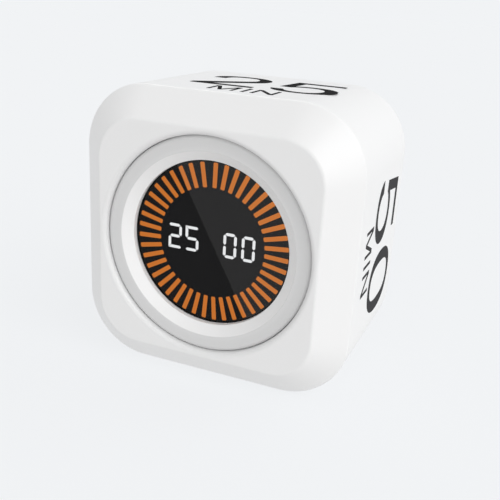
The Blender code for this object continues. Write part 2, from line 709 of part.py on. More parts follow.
def make_dial_ring(parent):
    """Turned ring: rounded edge, flat band, sharp crease, dished cone, and the skirt that runs in the collar."""
    crease = (BAND_INNER_RADIUS, DIAL_SINK + BAND_FALL)
    side = (DIAL_RADIUS, SKIRT_BACK)
    profile = fillet(crease, (DIAL_RADIUS, DIAL_SINK), side, DIAL_EDGE_RADIUS)
    profile += [side, (SKIRT_INNER_RADIUS, SKIRT_BACK), (SKIRT_INNER_RADIUS, DIAL_CAP_BACK)]
    profile += [(DIAL_BORE_RADIUS, DIAL_CAP_BACK), (DIAL_BORE_RADIUS, DISH_DEPTH), crease]
    bm = bmesh.new()
    add_revolved(bm, profile, BIG_STEPS)
    ring = make_object("dial_ring", bm, parent, "white_satin")
    holes = bmesh.new()
    tip = DIAL_SCREW_SEAT - DIAL_SCREW_LENGTH - GAP
    for place in dial_screw_places():
        add_cylinder(holes, DIAL_SCREW_RADIUS + SCREW_GAP, tip, SKIRT_BACK + OVERRUN, place, SCREW_STEPS)
    combine(ring, holes, "DIFFERENCE")


def involute(angle):
    return math.tan(angle) - angle


def gear_outline(teeth, first, steps):
    """Outline of an involute gear. first is the direction of one tooth's middle."""
    pitch = GEAR_MODULE * teeth / 2
    base = pitch * math.cos(PRESSURE_ANGLE)
    tip = pitch + ADDENDUM_SHARE * GEAR_MODULE
    root = pitch - DEDENDUM_SHARE * GEAR_MODULE
    start = max(root, base)
    radii = [start + (tip - start) * step / steps for step in range(steps + 1)]
    half_tooth = math.pi / teeth / 2 * TOOTH_FILL_SHARE + involute(PRESSURE_ANGLE)
    flank = [(radius, half_tooth - involute(math.acos(base / radius))) for radius in radii]
    if root < base:
        flank.insert(0, (root, flank[0][1]))
    points = []
    for tooth in range(teeth):
        middle = first + 2 * math.pi * tooth / teeth
        points += [(radius, middle - turn) for radius, turn in flank]
        points += [(radius, middle + turn) for radius, turn in reversed(flank)]
    return [(radius * math.cos(turn), radius * math.sin(turn)) for radius, turn in points]


def make_dial_gear(parent):
    """Toothed ring screwed behind the skirt. It holds the dial in the collar and drives the pinion."""
    bm = bmesh.new()
    add_prism(bm, gear_outline(DIAL_TEETH, ENCODER_ANGLE, 1), GEAR_FRONT, GEAR_BACK)
    gear = make_object("dial_gear", bm, parent, "natural_nylon")
    bore = bmesh.new()
    add_cylinder(bore, SKIRT_INNER_RADIUS, GEAR_FRONT - OVERRUN, GEAR_BACK + OVERRUN, steps=MIDDLE_STEPS)
    combine(gear, bore, "DIFFERENCE")
    recesses = bmesh.new()
    wide = DIAL_SCREW_HEAD_RADIUS + FINE_GAP
    narrow = DIAL_SCREW_RADIUS + SCREW_GAP
    floor = DIAL_SCREW_SEAT - FINE_GAP
    profile = [(0, GEAR_FRONT - OVERRUN), (narrow, GEAR_FRONT - OVERRUN), (narrow, floor)]
    profile += [(wide, floor), (wide, GEAR_BACK + OVERRUN), (0, GEAR_BACK + OVERRUN)]
    for place in dial_screw_places():
        add_revolved(recesses, profile, SCREW_STEPS, place)
    combine(gear, recesses, "DIFFERENCE")


def cross_outline(half_length, half_width):
    """Plus sign with twelve corners."""
    points = []
    for quarter in range(4):
        cos, sin = math.cos(quarter * math.pi / 2), math.sin(quarter * math.pi / 2)
        for x, z in ((half_length, -half_width), (half_length, half_width), (half_width, half_width)):
            points.append((x * cos - z * sin, x * sin + z * cos))
    return points


def make_screws(name, parent, places, under_head, shank_radius, length, head_radius, head_height):
    """Like screws with their heads to the rear, each with a cross recess."""
    tip = under_head - length
    top = under_head + head_height
    profile = [(0, tip), (shank_radius * SCREW_TIP_SHARE, tip), (shank_radius, tip + shank_radius)]
    profile += [(shank_radius, under_head), (head_radius, under_head)]
    profile += [(head_radius, under_head + head_height * HEAD_EDGE_SHARE), (head_radius * HEAD_TOP_SHARE, top)]
    profile.append((0, top))
    half_length = head_radius * DRIVE_LENGTH_SHARE
    outline = cross_outline(half_length, half_length * DRIVE_WIDTH_SHARE)
    for number, place in enumerate(places, 1):
        bm = bmesh.new()
        add_revolved(bm, profile, SCREW_STEPS)
        screw = make_object(f"{name}_{number}", bm, parent, "steel", place)
        recess = bmesh.new()
        add_prism(recess, outline, top - head_height * DRIVE_DEPTH_SHARE, top + OVERRUN)
        combine(screw, recess, "DIFFERENCE")


def make_all_screws(root, dial_axis):
    small = (SMALL_HEAD_RADIUS, SMALL_HEAD_HEIGHT)
    make_screws("chassis_screw", root, boss_places(), CHASSIS_BACK + GAP,
                SMALL_SHANK_RADIUS, CHASSIS_SCREW_LENGTH, *small)
    make_screws("display_screw", root, display_screw_places(), DISPLAY_SCREW_SEAT,
                SMALL_SHANK_RADIUS, DISPLAY_SCREW_LENGTH, *small)
    make_screws("clamp_screw", root, side_places(CLAMP_OFFSET), CLAMP_BACK + GAP,
                SMALL_SHANK_RADIUS, CLAMP_SCREW_LENGTH, *small)
    make_screws("rear_screw", root, corner_places(POST_OFFSET), REAR_HEAD_FRONT,
                REAR_SHANK_RADIUS, REAR_SCREW_LENGTH, REAR_HEAD_RADIUS, REAR_HEAD_HEIGHT)
    make_screws("dial_screw", dial_axis, dial_screw_places(), DIAL_SCREW_SEAT,
                DIAL_SCREW_RADIUS, DIAL_SCREW_LENGTH, DIAL_SCREW_HEAD_RADIUS, DIAL_SCREW_HEAD_HEIGHT)


def make_encoder(root, encoder_axis):
    """Round encoder behind the chassis. Its shaft and pinion turn on their own axis."""
    front = CHASSIS_BACK + GAP
    shaft_back = front + ENCODER_LENGTH / 2
    body = bmesh.new()
    add_cylinder(body, ENCODER_RADIUS, front, front + ENCODER_LENGTH)
    encoder = make_object("rotary_encoder", body, root, "grey_plastic", (ENCODER_X, ENCODER_Z))
    well = bmesh.new()
    add_cylinder(well, ENCODER_SHAFT_RADIUS + GAP, front - OVERRUN, shaft_back + GAP, steps=SCREW_STEPS)
    combine(encoder, well, "DIFFERENCE")

    shaft = bmesh.new()
    add_cylinder(shaft, ENCODER_SHAFT_RADIUS, GEAR_FRONT, shaft_back, steps=SCREW_STEPS)
    make_object("encoder_shaft", shaft, encoder_axis, "steel")

    gear = bmesh.new()
    first = ENCODER_ANGLE + math.pi + math.pi / PINION_TEETH
    add_prism(gear, gear_outline(PINION_TEETH, first, FLANK_STEPS), GEAR_FRONT, GEAR_BACK)
    pinion = make_object("encoder_pinion", gear, encoder_axis, "natural_nylon")
    bore = bmesh.new()
    radius = ENCODER_SHAFT_RADIUS + FINE_GAP
    add_cylinder(bore, radius, GEAR_FRONT - OVERRUN, GEAR_BACK + OVERRUN, steps=SCREW_STEPS)
    combine(pinion, bore, "DIFFERENCE")

    cable = bmesh.new()
    path = [(front + ENCODER_LENGTH + GAP, ENCODER_Z), (MAIN_BOARD_DEPTH - GAP, ENCODER_Z)]
    half_x = CABLE_THICKNESS / 2
    section = rounded_rectangle(half_x, CABLE_WIDTH / 2, half_x * END_ROUND_SHARE, FILLET_STEPS)
    add_swept(cable, path, section, CABLE_X)
    make_object("encoder_cable", cable, root, "grey_plastic")


def make_lens(parent):
    back = LENS_DEPTH + LENS_THICKNESS
    inner = LENS_RADIUS - LENS_EDGE
    profile = [(0, LENS_DEPTH), (inner, LENS_DEPTH), (LENS_RADIUS, LENS_DEPTH + LENS_EDGE)]
    bm = bmesh.new()
    add_revolved(bm, profile + [(LENS_RADIUS, back), (0, back)], MIDDLE_STEPS)
    make_object("display_lens", bm, parent, "smoked_glass")


def bar_outlines(grow):
    """Outlines of the radial light bars, clockwise from the top, each grown by the same margin."""
    half_length = (BAR_OUTER_RADIUS - BAR_INNER_RADIUS) / 2 + grow
    middle = (0, (BAR_OUTER_RADIUS + BAR_INNER_RADIUS) / 2)
    plain = rectangle(BAR_WIDTH / 2 + grow, half_length, middle)
    outlines = []
    for bar in range(BAR_COUNT):
        turn = BAR_FIRST + BAR_PITCH * bar
        cos, sin = math.cos(turn), math.sin(turn)
        outlines.append([(x * cos + z * sin, z * cos - x * sin) for x, z in plain])
    return outlines


def segment_outline(start, end, grow):
    """Six-sided bar between two corners of a digit, short of both by the gap between segments."""
    run = [end[k] - start[k] for k in range(2)]
    length = math.hypot(*run)
    along = [value / length for value in run]
    across = (-along[1], along[0])
    half = SEGMENT_WIDTH / 2 + grow
    tip = SEGMENT_GAP - grow
    shape = [(tip, 0), (tip + half, half), (length - tip - half, half)]
    shape += [(length - tip, 0), (length - tip - half, -half), (tip + half, -half)]
    return [tuple(start[k] + u * along[k] + v * across[k] for k in range(2)) for u, v in shape]


def segment_outlines(grow):
    """Outlines of the seven segments of every digit, each grown by the same margin."""
    half_x = (DIGIT_WIDTH - SEGMENT_WIDTH) / 2
    half_z = (DIGIT_HEIGHT - SEGMENT_WIDTH) / 2
    ends = [((-1, row), (1, row)) for row in (1, 0, -1)]
    ends += [((side, row), (side, row - 1)) for side in (-1, 1) for row in (1, 0)]
    outlines = []
    for pair_x in spread(2, DIGIT_PAIR_PITCH):
        for digit_x in spread(DIGIT_COUNT // 2, DIGIT_PITCH):
            for start, end in ends:
                corners = [(pair_x + digit_x + u * half_x, DIGIT_RISE + v * half_z) for u, v in (start, end)]
                outlines.append(segment_outline(*corners, grow))
    return outlines


def outline_middle(outline):
    return tuple(sum(point[k] for point in outline) / len(outline) for k in range(2))


def make_display_block(parent):
    """Black block with a slot for every bar and segment, and two recesses at the back for the light guides."""
    bm = bmesh.new()
    add_cylinder(bm, BLOCK_RADIUS, BLOCK_FRONT, BLOCK_BACK, steps=MIDDLE_STEPS)
    block = make_object("display_block", bm, parent, "black_plastic")
    recesses = bmesh.new()
    front = GUIDE_FRONT - GAP
    outer = BAR_GUIDE_OUTER_RADIUS + GAP
    add_tube(recesses, outer, BAR_GUIDE_INNER_RADIUS - GAP, front, BLOCK_BACK + OVERRUN, MIDDLE_STEPS)
    add_prism(recesses, digit_guide_outline(GAP), front, BLOCK_BACK + OVERRUN)
    tip = DISPLAY_SCREW_SEAT - DISPLAY_SCREW_LENGTH - GAP
    for place in display_screw_places():
        add_cylinder(recesses, SMALL_SHANK_RADIUS + SCREW_GAP, tip, BLOCK_BACK + OVERRUN, place, SCREW_STEPS)
    combine(block, recesses, "DIFFERENCE")
    slots = bmesh.new()
    for outline in bar_outlines(FINE_GAP):
        add_prism(slots, outline, BLOCK_FRONT - OVERRUN, GUIDE_BACK)
    for outline in segment_outlines(SEGMENT_CLEARANCE):
        add_prism(slots, outline, BLOCK_FRONT - OVERRUN, GUIDE_BACK)
    combine(block, slots, "DIFFERENCE")


def digit_guide_outline(grow):
    half_x = DIGIT_GUIDE_WIDTH / 2 + grow
    half_z = DIGIT_GUIDE_HEIGHT / 2 + grow
    return rounded_rectangle(half_x, half_z, DIGIT_GUIDE_CORNER + grow, FILLET_STEPS, (0, DIGIT_RISE))


def make_light_guides(parent):
    """Orange ring of bars and the digits' white plate, which stand up through the block's slots."""
    bars = bmesh.new()
    add_tube(bars, BAR_GUIDE_OUTER_RADIUS, BAR_GUIDE_INNER_RADIUS, GUIDE_FRONT, GUIDE_BACK, MIDDLE_STEPS)
    guide = make_object("bar_light_guide", bars, parent, "orange_light")
    raised = bmesh.new()
    for outline in bar_outlines(0):
        add_prism(raised, outline, BLOCK_FRONT, GUIDE_FRONT + SEAT_DEPTH)
    combine(guide, raised, "UNION")

    plate = bmesh.new()
    add_prism(plate, digit_guide_outline(0), GUIDE_FRONT, GUIDE_BACK)
    guide = make_object("digit_light_guide", plate, parent, "white_light")
    raised = bmesh.new()
    for outline in segment_outlines(0):
        add_prism(raised, outline, BLOCK_FRONT, GUIDE_FRONT + SEAT_DEPTH)
    combine(guide, raised, "UNION")


def make_display_board(parent):
    """Round board with one LED behind each bar and each digit."""
    bm = bmesh.new()
    add_cylinder(bm, DISPLAY_BOARD_RADIUS, DISPLAY_BOARD_FRONT, DISPLAY_BOARD_BACK, steps=MIDDLE_STEPS)
    board = make_object("display_board", bm, parent, "black_board")
    leds = bmesh.new()
    back = DISPLAY_BOARD_FRONT + SEAT_DEPTH
    front = DISPLAY_BOARD_FRONT - LED_HEIGHT
    half = LED_SIZE / 2
    for outline in bar_outlines(0):
        add_box(leds, half, half, front, back, outline_middle(outline))
    for pair_x in spread(2, DIGIT_PAIR_PITCH):
        for digit_x in spread(DIGIT_COUNT // 2, DIGIT_PITCH):
            add_box(leds, half, half, front, back, (pair_x + digit_x, DIGIT_RISE))
    combine(board, leds, "UNION")
    holes = bmesh.new()
    for place in display_screw_places():
        add_cylinder(holes, SMALL_SHANK_RADIUS + GAP, front, DISPLAY_BOARD_BACK + OVERRUN, place, SCREW_STEPS)
    combine(board, holes, "DIFFERENCE")


def make_chassis(parent):
    """Plate behind the dial, with posts for the main board, the battery's tray and the clamp's posts."""
    bm = bmesh.new()
    outline = rounded_rectangle(CHASSIS_HALF, CHASSIS_HALF, inner_corner_radius(CHASSIS_HALF))
    add_prism(bm, outline, CHASSIS_FRONT, CHASSIS_BACK)
    chassis = make_object("chassis", bm, parent, "grey_plastic")

    raised = bmesh.new()
    foot = CHASSIS_BACK - SEAT_DEPTH
    half_wall = TRAY_WALL / 2
    for place in corner_places(POST_OFFSET):
        add_cylinder(raised, POST_RADIUS, foot, POST_END, place)
    for place in side_places(CLAMP_OFFSET):
        add_cylinder(raised, CLAMP_POST_RADIUS, foot, CLAMP_FRONT - GAP, place)
    for place in side_places(BATTERY_WIDTH / 2 + GAP + half_wall):
        add_box(raised, half_wall, TRAY_RIB_OFFSET, foot, TRAY_BACK, place)
    for side_x, side_z in corner_places(1):
        place = (side_x * TRAY_RIB_OFFSET, side_z * (BATTERY_HEIGHT / 2 + GAP + half_wall))
        add_box(raised, TRAY_RIB_LENGTH / 2, half_wall, foot, TRAY_BACK, place)
    combine(chassis, raised, "UNION")
    combine(chassis, chassis_holes(), "DIFFERENCE")


def chassis_holes():
    holes = bmesh.new()
    front = CHASSIS_FRONT - OVERRUN
    past = CHASSIS_BACK + OVERRUN
    for place in boss_places():
        add_cylinder(holes, SMALL_SHANK_RADIUS + GAP, front, past, place, SCREW_STEPS)
    add_cylinder(holes, ENCODER_SHAFT_RADIUS + GAP, front, past, (ENCODER_X, ENCODER_Z), SCREW_STEPS)
    narrow = SMALL_SHANK_RADIUS + GAP
    wide = SMALL_HEAD_RADIUS + GAP
    floor = DISPLAY_SCREW_SEAT - FINE_GAP
    profile = [(0, front), (narrow, front), (narrow, floor), (wide, floor), (wide, past), (0, past)]
    for place in display_screw_places():
        add_revolved(holes, profile, SCREW_STEPS, place)
    window_top = DISPLAY_CONNECTOR_Z + CONNECTOR_LENGTH / 2 + RIBBON_WINDOW_MARGIN
    window_end = RIBBON_DROP_Z - RIBBON_WINDOW_END
    window_middle = (0, (window_top + window_end) / 2)
    add_box(holes, RIBBON_WINDOW_WIDTH / 2, (window_top - window_end) / 2, front, past, window_middle)
    tip = REAR_HEAD_FRONT - REAR_SCREW_LENGTH - GAP
    for place in corner_places(POST_OFFSET):
        add_cylinder(holes, REAR_SHANK_RADIUS + SCREW_GAP, tip, POST_END + OVERRUN, place, SCREW_STEPS)
    tip = CLAMP_BACK - CLAMP_SCREW_LENGTH
    for place in side_places(CLAMP_OFFSET):
        add_cylinder(holes, SMALL_SHANK_RADIUS + SCREW_GAP, tip, CLAMP_FRONT + OVERRUN, place, SCREW_STEPS)
    return holes


def make_battery(parent):
    """Pouch cell on its foam pad, held by a screwed clamp."""
    foam = bmesh.new()
    front = CHASSIS_BACK + GAP
    half_x = BATTERY_WIDTH / 2 - FOAM_INSET
    half_z = BATTERY_HEIGHT / 2 - FOAM_INSET
    add_box(foam, half_x, half_z, front, front + FOAM_THICKNESS)
    make_object("battery_foam", foam, parent, "grey_foam")

    cell = bmesh.new()
    outline = rounded_rectangle(BATTERY_WIDTH / 2, BATTERY_HEIGHT / 2, BATTERY_EDGE_RADIUS, FILLET_STEPS)
    add_prism(cell, outline, BATTERY_FRONT, BATTERY_BACK)
    make_object("battery", cell, parent, "silver_pouch")

    clamp = bmesh.new()
    half_x = CLAMP_OFFSET + CLAMP_POST_RADIUS
    outline = rounded_rectangle(half_x, CLAMP_HEIGHT / 2, CLAMP_POST_RADIUS, FILLET_STEPS)
    add_prism(clamp, outline, CLAMP_FRONT, CLAMP_BACK)
    strap = make_object("battery_clamp", clamp, parent, "grey_plastic")
    holes = bmesh.new()
    past = CLAMP_BACK + OVERRUN
    for place in side_places(CLAMP_OFFSET):
        add_cylinder(holes, SMALL_SHANK_RADIUS + GAP, CLAMP_FRONT - OVERRUN, past, place, SCREW_STEPS)
    combine(strap, holes, "DIFFERENCE")


def make_main_board(parent):
    """Board between the chassis posts and the rear cover's bosses, with its chips on the front side."""
    outline = rounded_rectangle(MAIN_BOARD_HALF, MAIN_BOARD_HALF, MAIN_BOARD_CORNER, FILLET_STEPS)
    bm = bmesh.new()
    add_prism(bm, outline, MAIN_BOARD_DEPTH, MAIN_BOARD_BACK)
    board = make_object("main_board", bm, parent, "green_board")
    small_parts = bmesh.new()
    half_x = SMALL_PART_WIDTH / 2
    half_z = SMALL_PART_LENGTH / 2
    front = MAIN_BOARD_DEPTH - SMALL_PART_HEIGHT
    for z in (-SMALL_PART_Z, SMALL_PART_Z):
        for x in spread(SMALL_PART_COUNT, SMALL_PART_PITCH):
            add_box(small_parts, half_x, half_z, front, MAIN_BOARD_DEPTH + SEAT_DEPTH, (x, z))
    combine(board, small_parts, "UNION")
    holes = bmesh.new()
    front = MAIN_BOARD_DEPTH - OVERRUN
    for place in corner_places(POST_OFFSET):
        add_cylinder(holes, REAR_SHANK_RADIUS + GAP, front, MAIN_BOARD_BACK + OVERRUN, place, SCREW_STEPS)
    combine(board, holes, "DIFFERENCE")


def make_chips(parent):
    chips = (
        ("controller_chip", CONTROLLER_SIZE, (0, CHIP_OFFSET)),
        ("motion_sensor_chip", SENSOR_SIZE, (0, 0)),
        ("charger_chip", CHARGER_SIZE, (-CHIP_OFFSET, -CHIP_OFFSET)),
    )
    for name, size, place in chips:
        chip = bmesh.new()
        add_box(chip, size / 2, size / 2, FRONT_PARTS_SEAT - CHIP_HEIGHT, FRONT_PARTS_SEAT)
        make_object(name, chip, parent, "chip_black", place)


def usb_outline(grow):
    """Oval outline of the socket, grown by a margin."""
    half_x = USB_WIDTH / 2 + grow
    half_z = USB_HEIGHT / 2 + grow
    return rounded_rectangle(half_x, half_z, half_z * END_ROUND_SHARE, FILLET_STEPS, (0, USB_Z))


def make_usb_socket(parent):
    """Upright socket on the main board: a thin oval shell, a floor and a tongue."""
    back = BODY_DEPTH - USB_SINK
    floor = REAR_PARTS_SEAT + USB_FLOOR
    bm = bmesh.new()
    add_prism(bm, usb_outline(0), REAR_PARTS_SEAT, back)
    socket = make_object("usb_socket", bm, parent, "steel")
    well = bmesh.new()
    add_prism(well, usb_outline(-USB_WALL), floor, back + OVERRUN)
    combine(socket, well, "DIFFERENCE")
    tongue = bmesh.new()
    half_z = USB_TONGUE_THICKNESS / 2
    add_box(tongue, USB_TONGUE_WIDTH / 2, half_z, floor - SEAT_DEPTH, back - USB_TONGUE_SINK, (0, USB_Z))
    combine(socket, tongue, "UNION")


def make_buzzer(parent):
    """Round buzzer with a sound port, behind the rear cover's grille."""
    front = REAR_PARTS_SEAT
    back = front + BUZZER_HEIGHT
    port_floor = back - BUZZER_PORT_DEPTH
    profile = [(0, front), (BUZZER_RADIUS, front), (BUZZER_RADIUS, back - BUZZER_EDGE)]
    profile += [(BUZZER_RADIUS - BUZZER_EDGE, back), (BUZZER_PORT_RADIUS, back)]
    profile += [(BUZZER_PORT_RADIUS, port_floor), (0, port_floor)]
    bm = bmesh.new()
    add_revolved(bm, profile, SMALL_STEPS)
    make_object("buzzer", bm, parent, "black_plastic", (0, BUZZER_Z))


def make_button(root, button_axis):
    """Tact switch on the board, its plunger, and the button that the rear wall holds by a flange."""
    top = REAR_PARTS_SEAT + TACT_HEIGHT
    body = bmesh.new()
    add_box(body, TACT_SIZE / 2, TACT_SIZE / 2, REAR_PARTS_SEAT, top)
    switch = make_object("tact_switch", body, root, "black_plastic", (BUTTON_X, 0))
    well = bmesh.new()
    add_cylinder(well, PLUNGER_RADIUS + FINE_GAP, top - TACT_WELL, top + OVERRUN)
    combine(switch, well, "DIFFERENCE")

    plunger_back = top + PLUNGER_PROUD
    plunger = bmesh.new()
    add_cylinder(plunger, PLUNGER_RADIUS, plunger_back - PLUNGER_LENGTH, plunger_back)
    make_object("tact_plunger", plunger, button_axis, "natural_nylon")

    stem_front = plunger_back + GAP
    flange_back = REAR_WALL_DEPTH - GAP
    flange_front = flange_back - BUTTON_FLANGE_THICKNESS
    flange_radius = BUTTON_RADIUS + BUTTON_FLANGE
    face = BODY_DEPTH - BUTTON_SINK
    profile = [(0, stem_front), (BUTTON_STEM_RADIUS, stem_front), (BUTTON_STEM_RADIUS, flange_front)]
    profile += [(flange_radius, flange_front), (flange_radius, flange_back), (BUTTON_RADIUS, flange_back)]
    profile += [(BUTTON_RADIUS, face - BUTTON_EDGE), (BUTTON_RADIUS - BUTTON_EDGE, face), (0, face)]
    button = bmesh.new()
    add_revolved(button, profile, SMALL_STEPS)
    make_object("start_button", button, button_axis, "white_satin")


def make_slide_switch(root, slider_axis):
    """Slide switch on the board, and its lever."""
    top = REAR_PARTS_SEAT + SWITCH_DEPTH
    floor = top - SWITCH_WELL
    body = bmesh.new()
    add_box(body, SWITCH_LENGTH / 2, SWITCH_HEIGHT / 2, REAR_PARTS_SEAT, top)
    switch = make_object("slide_switch", body, root, "steel", (SLIDER_X, 0))
    well = bmesh.new()
    half_x = LEVER_SIZE / 2 + SLIDER_TRAVEL + GAP
    add_box(well, half_x, SWITCH_WELL_HEIGHT / 2, floor, top + OVERRUN)
    combine(switch, well, "DIFFERENCE")
    lever = bmesh.new()
    plate_front = REAR_WALL_DEPTH - GAP - SLIDER_PLATE_THICKNESS
    add_box(lever, LEVER_SIZE / 2, LEVER_SIZE / 2, floor + GAP, plate_front - GAP)
    make_object("switch_lever", lever, slider_axis, "black_plastic")


def make_mode_slider(slider_axis):
    """Ribbed pad outside the rear wall, joined through its slot to a plate and a fork inside."""
    pad_front = BODY_DEPTH - SLIDER_RECESS_DEPTH + GAP
    pad_back = BODY_DEPTH - SLIDER_RIB_HEIGHT
    plate_back = REAR_WALL_DEPTH - GAP
    plate_front = plate_back - SLIDER_PLATE_THICKNESS
    fork_front = plate_front - FORK_DEPTH
    pad = bmesh.new()
    outline = rounded_rectangle(SLIDER_PAD_LENGTH / 2, SLIDER_PAD_HEIGHT / 2, SLIDER_PAD_CORNER, FILLET_STEPS)
    add_prism(pad, outline, pad_front, pad_back)
    slider = make_object("mode_slider", pad, slider_axis, "grey_plastic")
    boxes = (
        (SLIDER_NECK_LENGTH, SLIDER_NECK_HEIGHT, plate_back - SLIDER_JOIN, pad_front + SLIDER_JOIN),
        (SLIDER_PLATE_LENGTH, SLIDER_PLATE_HEIGHT, plate_front, plate_back),
        (FORK_LENGTH, FORK_HEIGHT, fork_front, plate_front + SLIDER_JOIN),
    )
    for length, height, front, back in boxes:
        block = bmesh.new()
        add_box(block, length / 2, height / 2, front, back)
        combine(slider, block, "UNION")
    ribs = bmesh.new()
    for x in spread(SLIDER_RIB_COUNT, SLIDER_RIB_PITCH):
        add_box(ribs, SLIDER_RIB_WIDTH / 2, SLIDER_RIB_LENGTH / 2, pad_back - SLIDER_JOIN, BODY_DEPTH, (x, 0))
    combine(slider, ribs, "UNION")
    socket = bmesh.new()
    half = LEVER_SIZE / 2 + FINE_GAP
    add_box(socket, half, half, fork_front - OVERRUN, plate_front)
    combine(slider, socket, "DIFFERENCE")


def make_battery_leads(parent):
    """Board header, plug, and the two wires that run from the battery's top edge to the plug."""
    place = (HEADER_X, HEADER_Z)
    header_front = FRONT_PARTS_SEAT - HEADER_HEIGHT
    inner_x = HEADER_WIDTH / 2 - HEADER_WALL
    inner_z = HEADER_DEPTH / 2 - HEADER_WALL
    body = bmesh.new()
    add_box(body, HEADER_WIDTH / 2, HEADER_DEPTH / 2, header_front, FRONT_PARTS_SEAT)
    header = make_object("battery_header", body, parent, "natural_nylon", place)
    well = bmesh.new()
    add_box(well, inner_x, inner_z, header_front - OVERRUN, FRONT_PARTS_SEAT - HEADER_WALL)
    combine(header, well, "DIFFERENCE")
    plug = bmesh.new()
    add_box(plug, inner_x - FINE_GAP, inner_z - FINE_GAP, PLUG_FRONT, PLUG_BACK)
    make_object("battery_plug", plug, parent, "natural_nylon", place)

    exit_depth = (BATTERY_FRONT + BATTERY_BACK) / 2
    battery_top = BATTERY_HEIGHT / 2 + GAP
    rise = battery_top + 2 * WIRE_BEND
    turn_depth = (CLAMP_BACK + PLUG_FRONT) / 2
    corners = [(exit_depth, battery_top), (exit_depth, rise), (turn_depth, rise), (turn_depth, HEADER_Z)]
    path = bent_path(corners + [(PLUG_FRONT - GAP, HEADER_Z)], WIRE_BEND)
    section = circle(WIRE_RADIUS, WIRE_STEPS)
    wires = (("battery_lead_plus", "wire_red"), ("battery_lead_minus", "chip_black"))
    for (name, finish), x in zip(wires, spread(2, WIRE_PITCH)):
        wire = bmesh.new()
        add_swept(wire, path, section, HEADER_X + x)
        make_object(name, wire, parent, finish)


def make_ribbon(parent):
    """Flat cable from the display board, through the chassis window and back to the main board."""
    half_x = CONNECTOR_WIDTH / 2
    half_z = CONNECTOR_LENGTH / 2
    display_front = DISPLAY_BOARD_BACK + FINE_GAP
    main_front = FRONT_PARTS_SEAT - CONNECTOR_HEIGHT
    connectors = (
        ("display_connector", display_front, DISPLAY_CONNECTOR_Z),
        ("main_connector", main_front, MAIN_CONNECTOR_Z),
    )
    for name, front, z in connectors:
        bm = bmesh.new()
        add_box(bm, half_x, half_z, front, front + CONNECTOR_HEIGHT)
        make_object(name, bm, parent, "natural_nylon", (0, z))

    near = display_front + CONNECTOR_HEIGHT / 2
    far = main_front + CONNECTOR_HEIGHT / 2
    corners = [(near, DISPLAY_CONNECTOR_Z - half_z - GAP), (near, RIBBON_DROP_Z)]
    corners += [(far, RIBBON_DROP_Z), (far, MAIN_CONNECTOR_Z - half_z - GAP)]
    ribbon = bmesh.new()
    section = rectangle(RIBBON_WIDTH / 2, RIBBON_THICKNESS / 2)
    add_swept(ribbon, bent_path(corners, RIBBON_BEND), section)
    make_object("display_ribbon", ribbon, parent, "ribbon_amber")


def main():
    clear_scene()
    root = make_empty("front_face_middle", at=(0, -BODY_DEPTH / 2, HALF_WIDTH))
    dial_axis = make_empty("dial_axis", root)
    encoder_axis = make_empty("encoder_axis", root, (ENCODER_X, 0, ENCODER_Z))
    button_axis = make_empty("button_axis", root, (BUTTON_X, 0, 0))
    slider_axis = make_empty("slider_axis", root, (SLIDER_X, 0, 0))
    make_front_shell(root)
    make_rear_cover(root)
    make_dial_ring(dial_axis)
    make_dial_gear(dial_axis)
    make_lens(root)
    make_display_block(root)
    make_light_guides(root)
    make_display_board(root)
    make_chassis(root)
    make_encoder(root, encoder_axis)
    make_battery(root)
    make_main_board(root)
    make_chips(root)
    make_usb_socket(root)
    make_buzzer(root)
    make_button(root, button_axis)
    make_slide_switch(root, slider_axis)
    make_mode_slider(slider_axis)
    make_battery_leads(root)
    make_ribbon(root)
    make_all_screws(root, dial_axis)


main()
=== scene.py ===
import math

import bmesh
import bpy
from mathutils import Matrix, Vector, geometry

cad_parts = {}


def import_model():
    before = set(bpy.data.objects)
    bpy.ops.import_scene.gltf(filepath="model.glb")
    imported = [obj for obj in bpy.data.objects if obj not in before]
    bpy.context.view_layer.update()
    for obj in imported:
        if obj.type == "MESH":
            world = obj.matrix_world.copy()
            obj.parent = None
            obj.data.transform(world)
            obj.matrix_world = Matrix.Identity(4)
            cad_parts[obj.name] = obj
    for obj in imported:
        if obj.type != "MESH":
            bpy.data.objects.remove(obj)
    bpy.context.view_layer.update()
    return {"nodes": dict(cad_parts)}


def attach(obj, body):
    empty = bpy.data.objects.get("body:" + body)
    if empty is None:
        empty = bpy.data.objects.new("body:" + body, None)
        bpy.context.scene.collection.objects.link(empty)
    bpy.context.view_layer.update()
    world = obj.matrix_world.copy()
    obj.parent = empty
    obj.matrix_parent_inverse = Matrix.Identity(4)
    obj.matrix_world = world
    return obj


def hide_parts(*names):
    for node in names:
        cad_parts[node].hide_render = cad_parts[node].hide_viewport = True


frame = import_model()

# Lengths are in millimetres: x to the right, depth back from the front face, z up from the dial's axis.
# A rectangle is its half width, half height and corner radius. A pair of depths is a front and a back.
MM = 0.001

HALF_WIDTH = 30.0
BODY_DEPTH = 45.0
HALF_DEPTH = BODY_DEPTH / 2
AXIS_HEIGHT = HALF_WIDTH
WALL = 2.0
FACE_HALF = 23.85
FACE_CORNER = 8.7
SIDE_CORNER = 13.85
CHAMFER_DEPTH = 5.6
CHAMFER_ANGLE = math.atan2(CHAMFER_DEPTH, HALF_WIDTH - FACE_HALF)
RIDGE_RADIUS = 0.9
INNER_RIDGE = FACE_HALF - WALL * math.tan(CHAMFER_ANGLE / 2)
SEAM = 40.0
SEAM_EDGE = 0.12
GAP = 0.3
DIAL_RADIUS = 22.33
DIAL_GAP = 0.05
LENS_RADIUS = 17.1
PRINT_THICKNESS = 0.025

# A body ring and a round ring have as many points each, on a side up to the angle SPLIT and round a corner.
SIDE_STEPS = 22
CORNER_STEPS = 20
SPLIT = math.atan2(FACE_HALF - FACE_CORNER, FACE_HALF)

TURN_STEPS = 240
GUIDE_STEPS = 120
FILLET_STEPS = 10
SMALL_FILLET_STEPS = 6
SEAM_STEPS = 4
RIM_STEPS = 4
CURVE_POINTS = 17

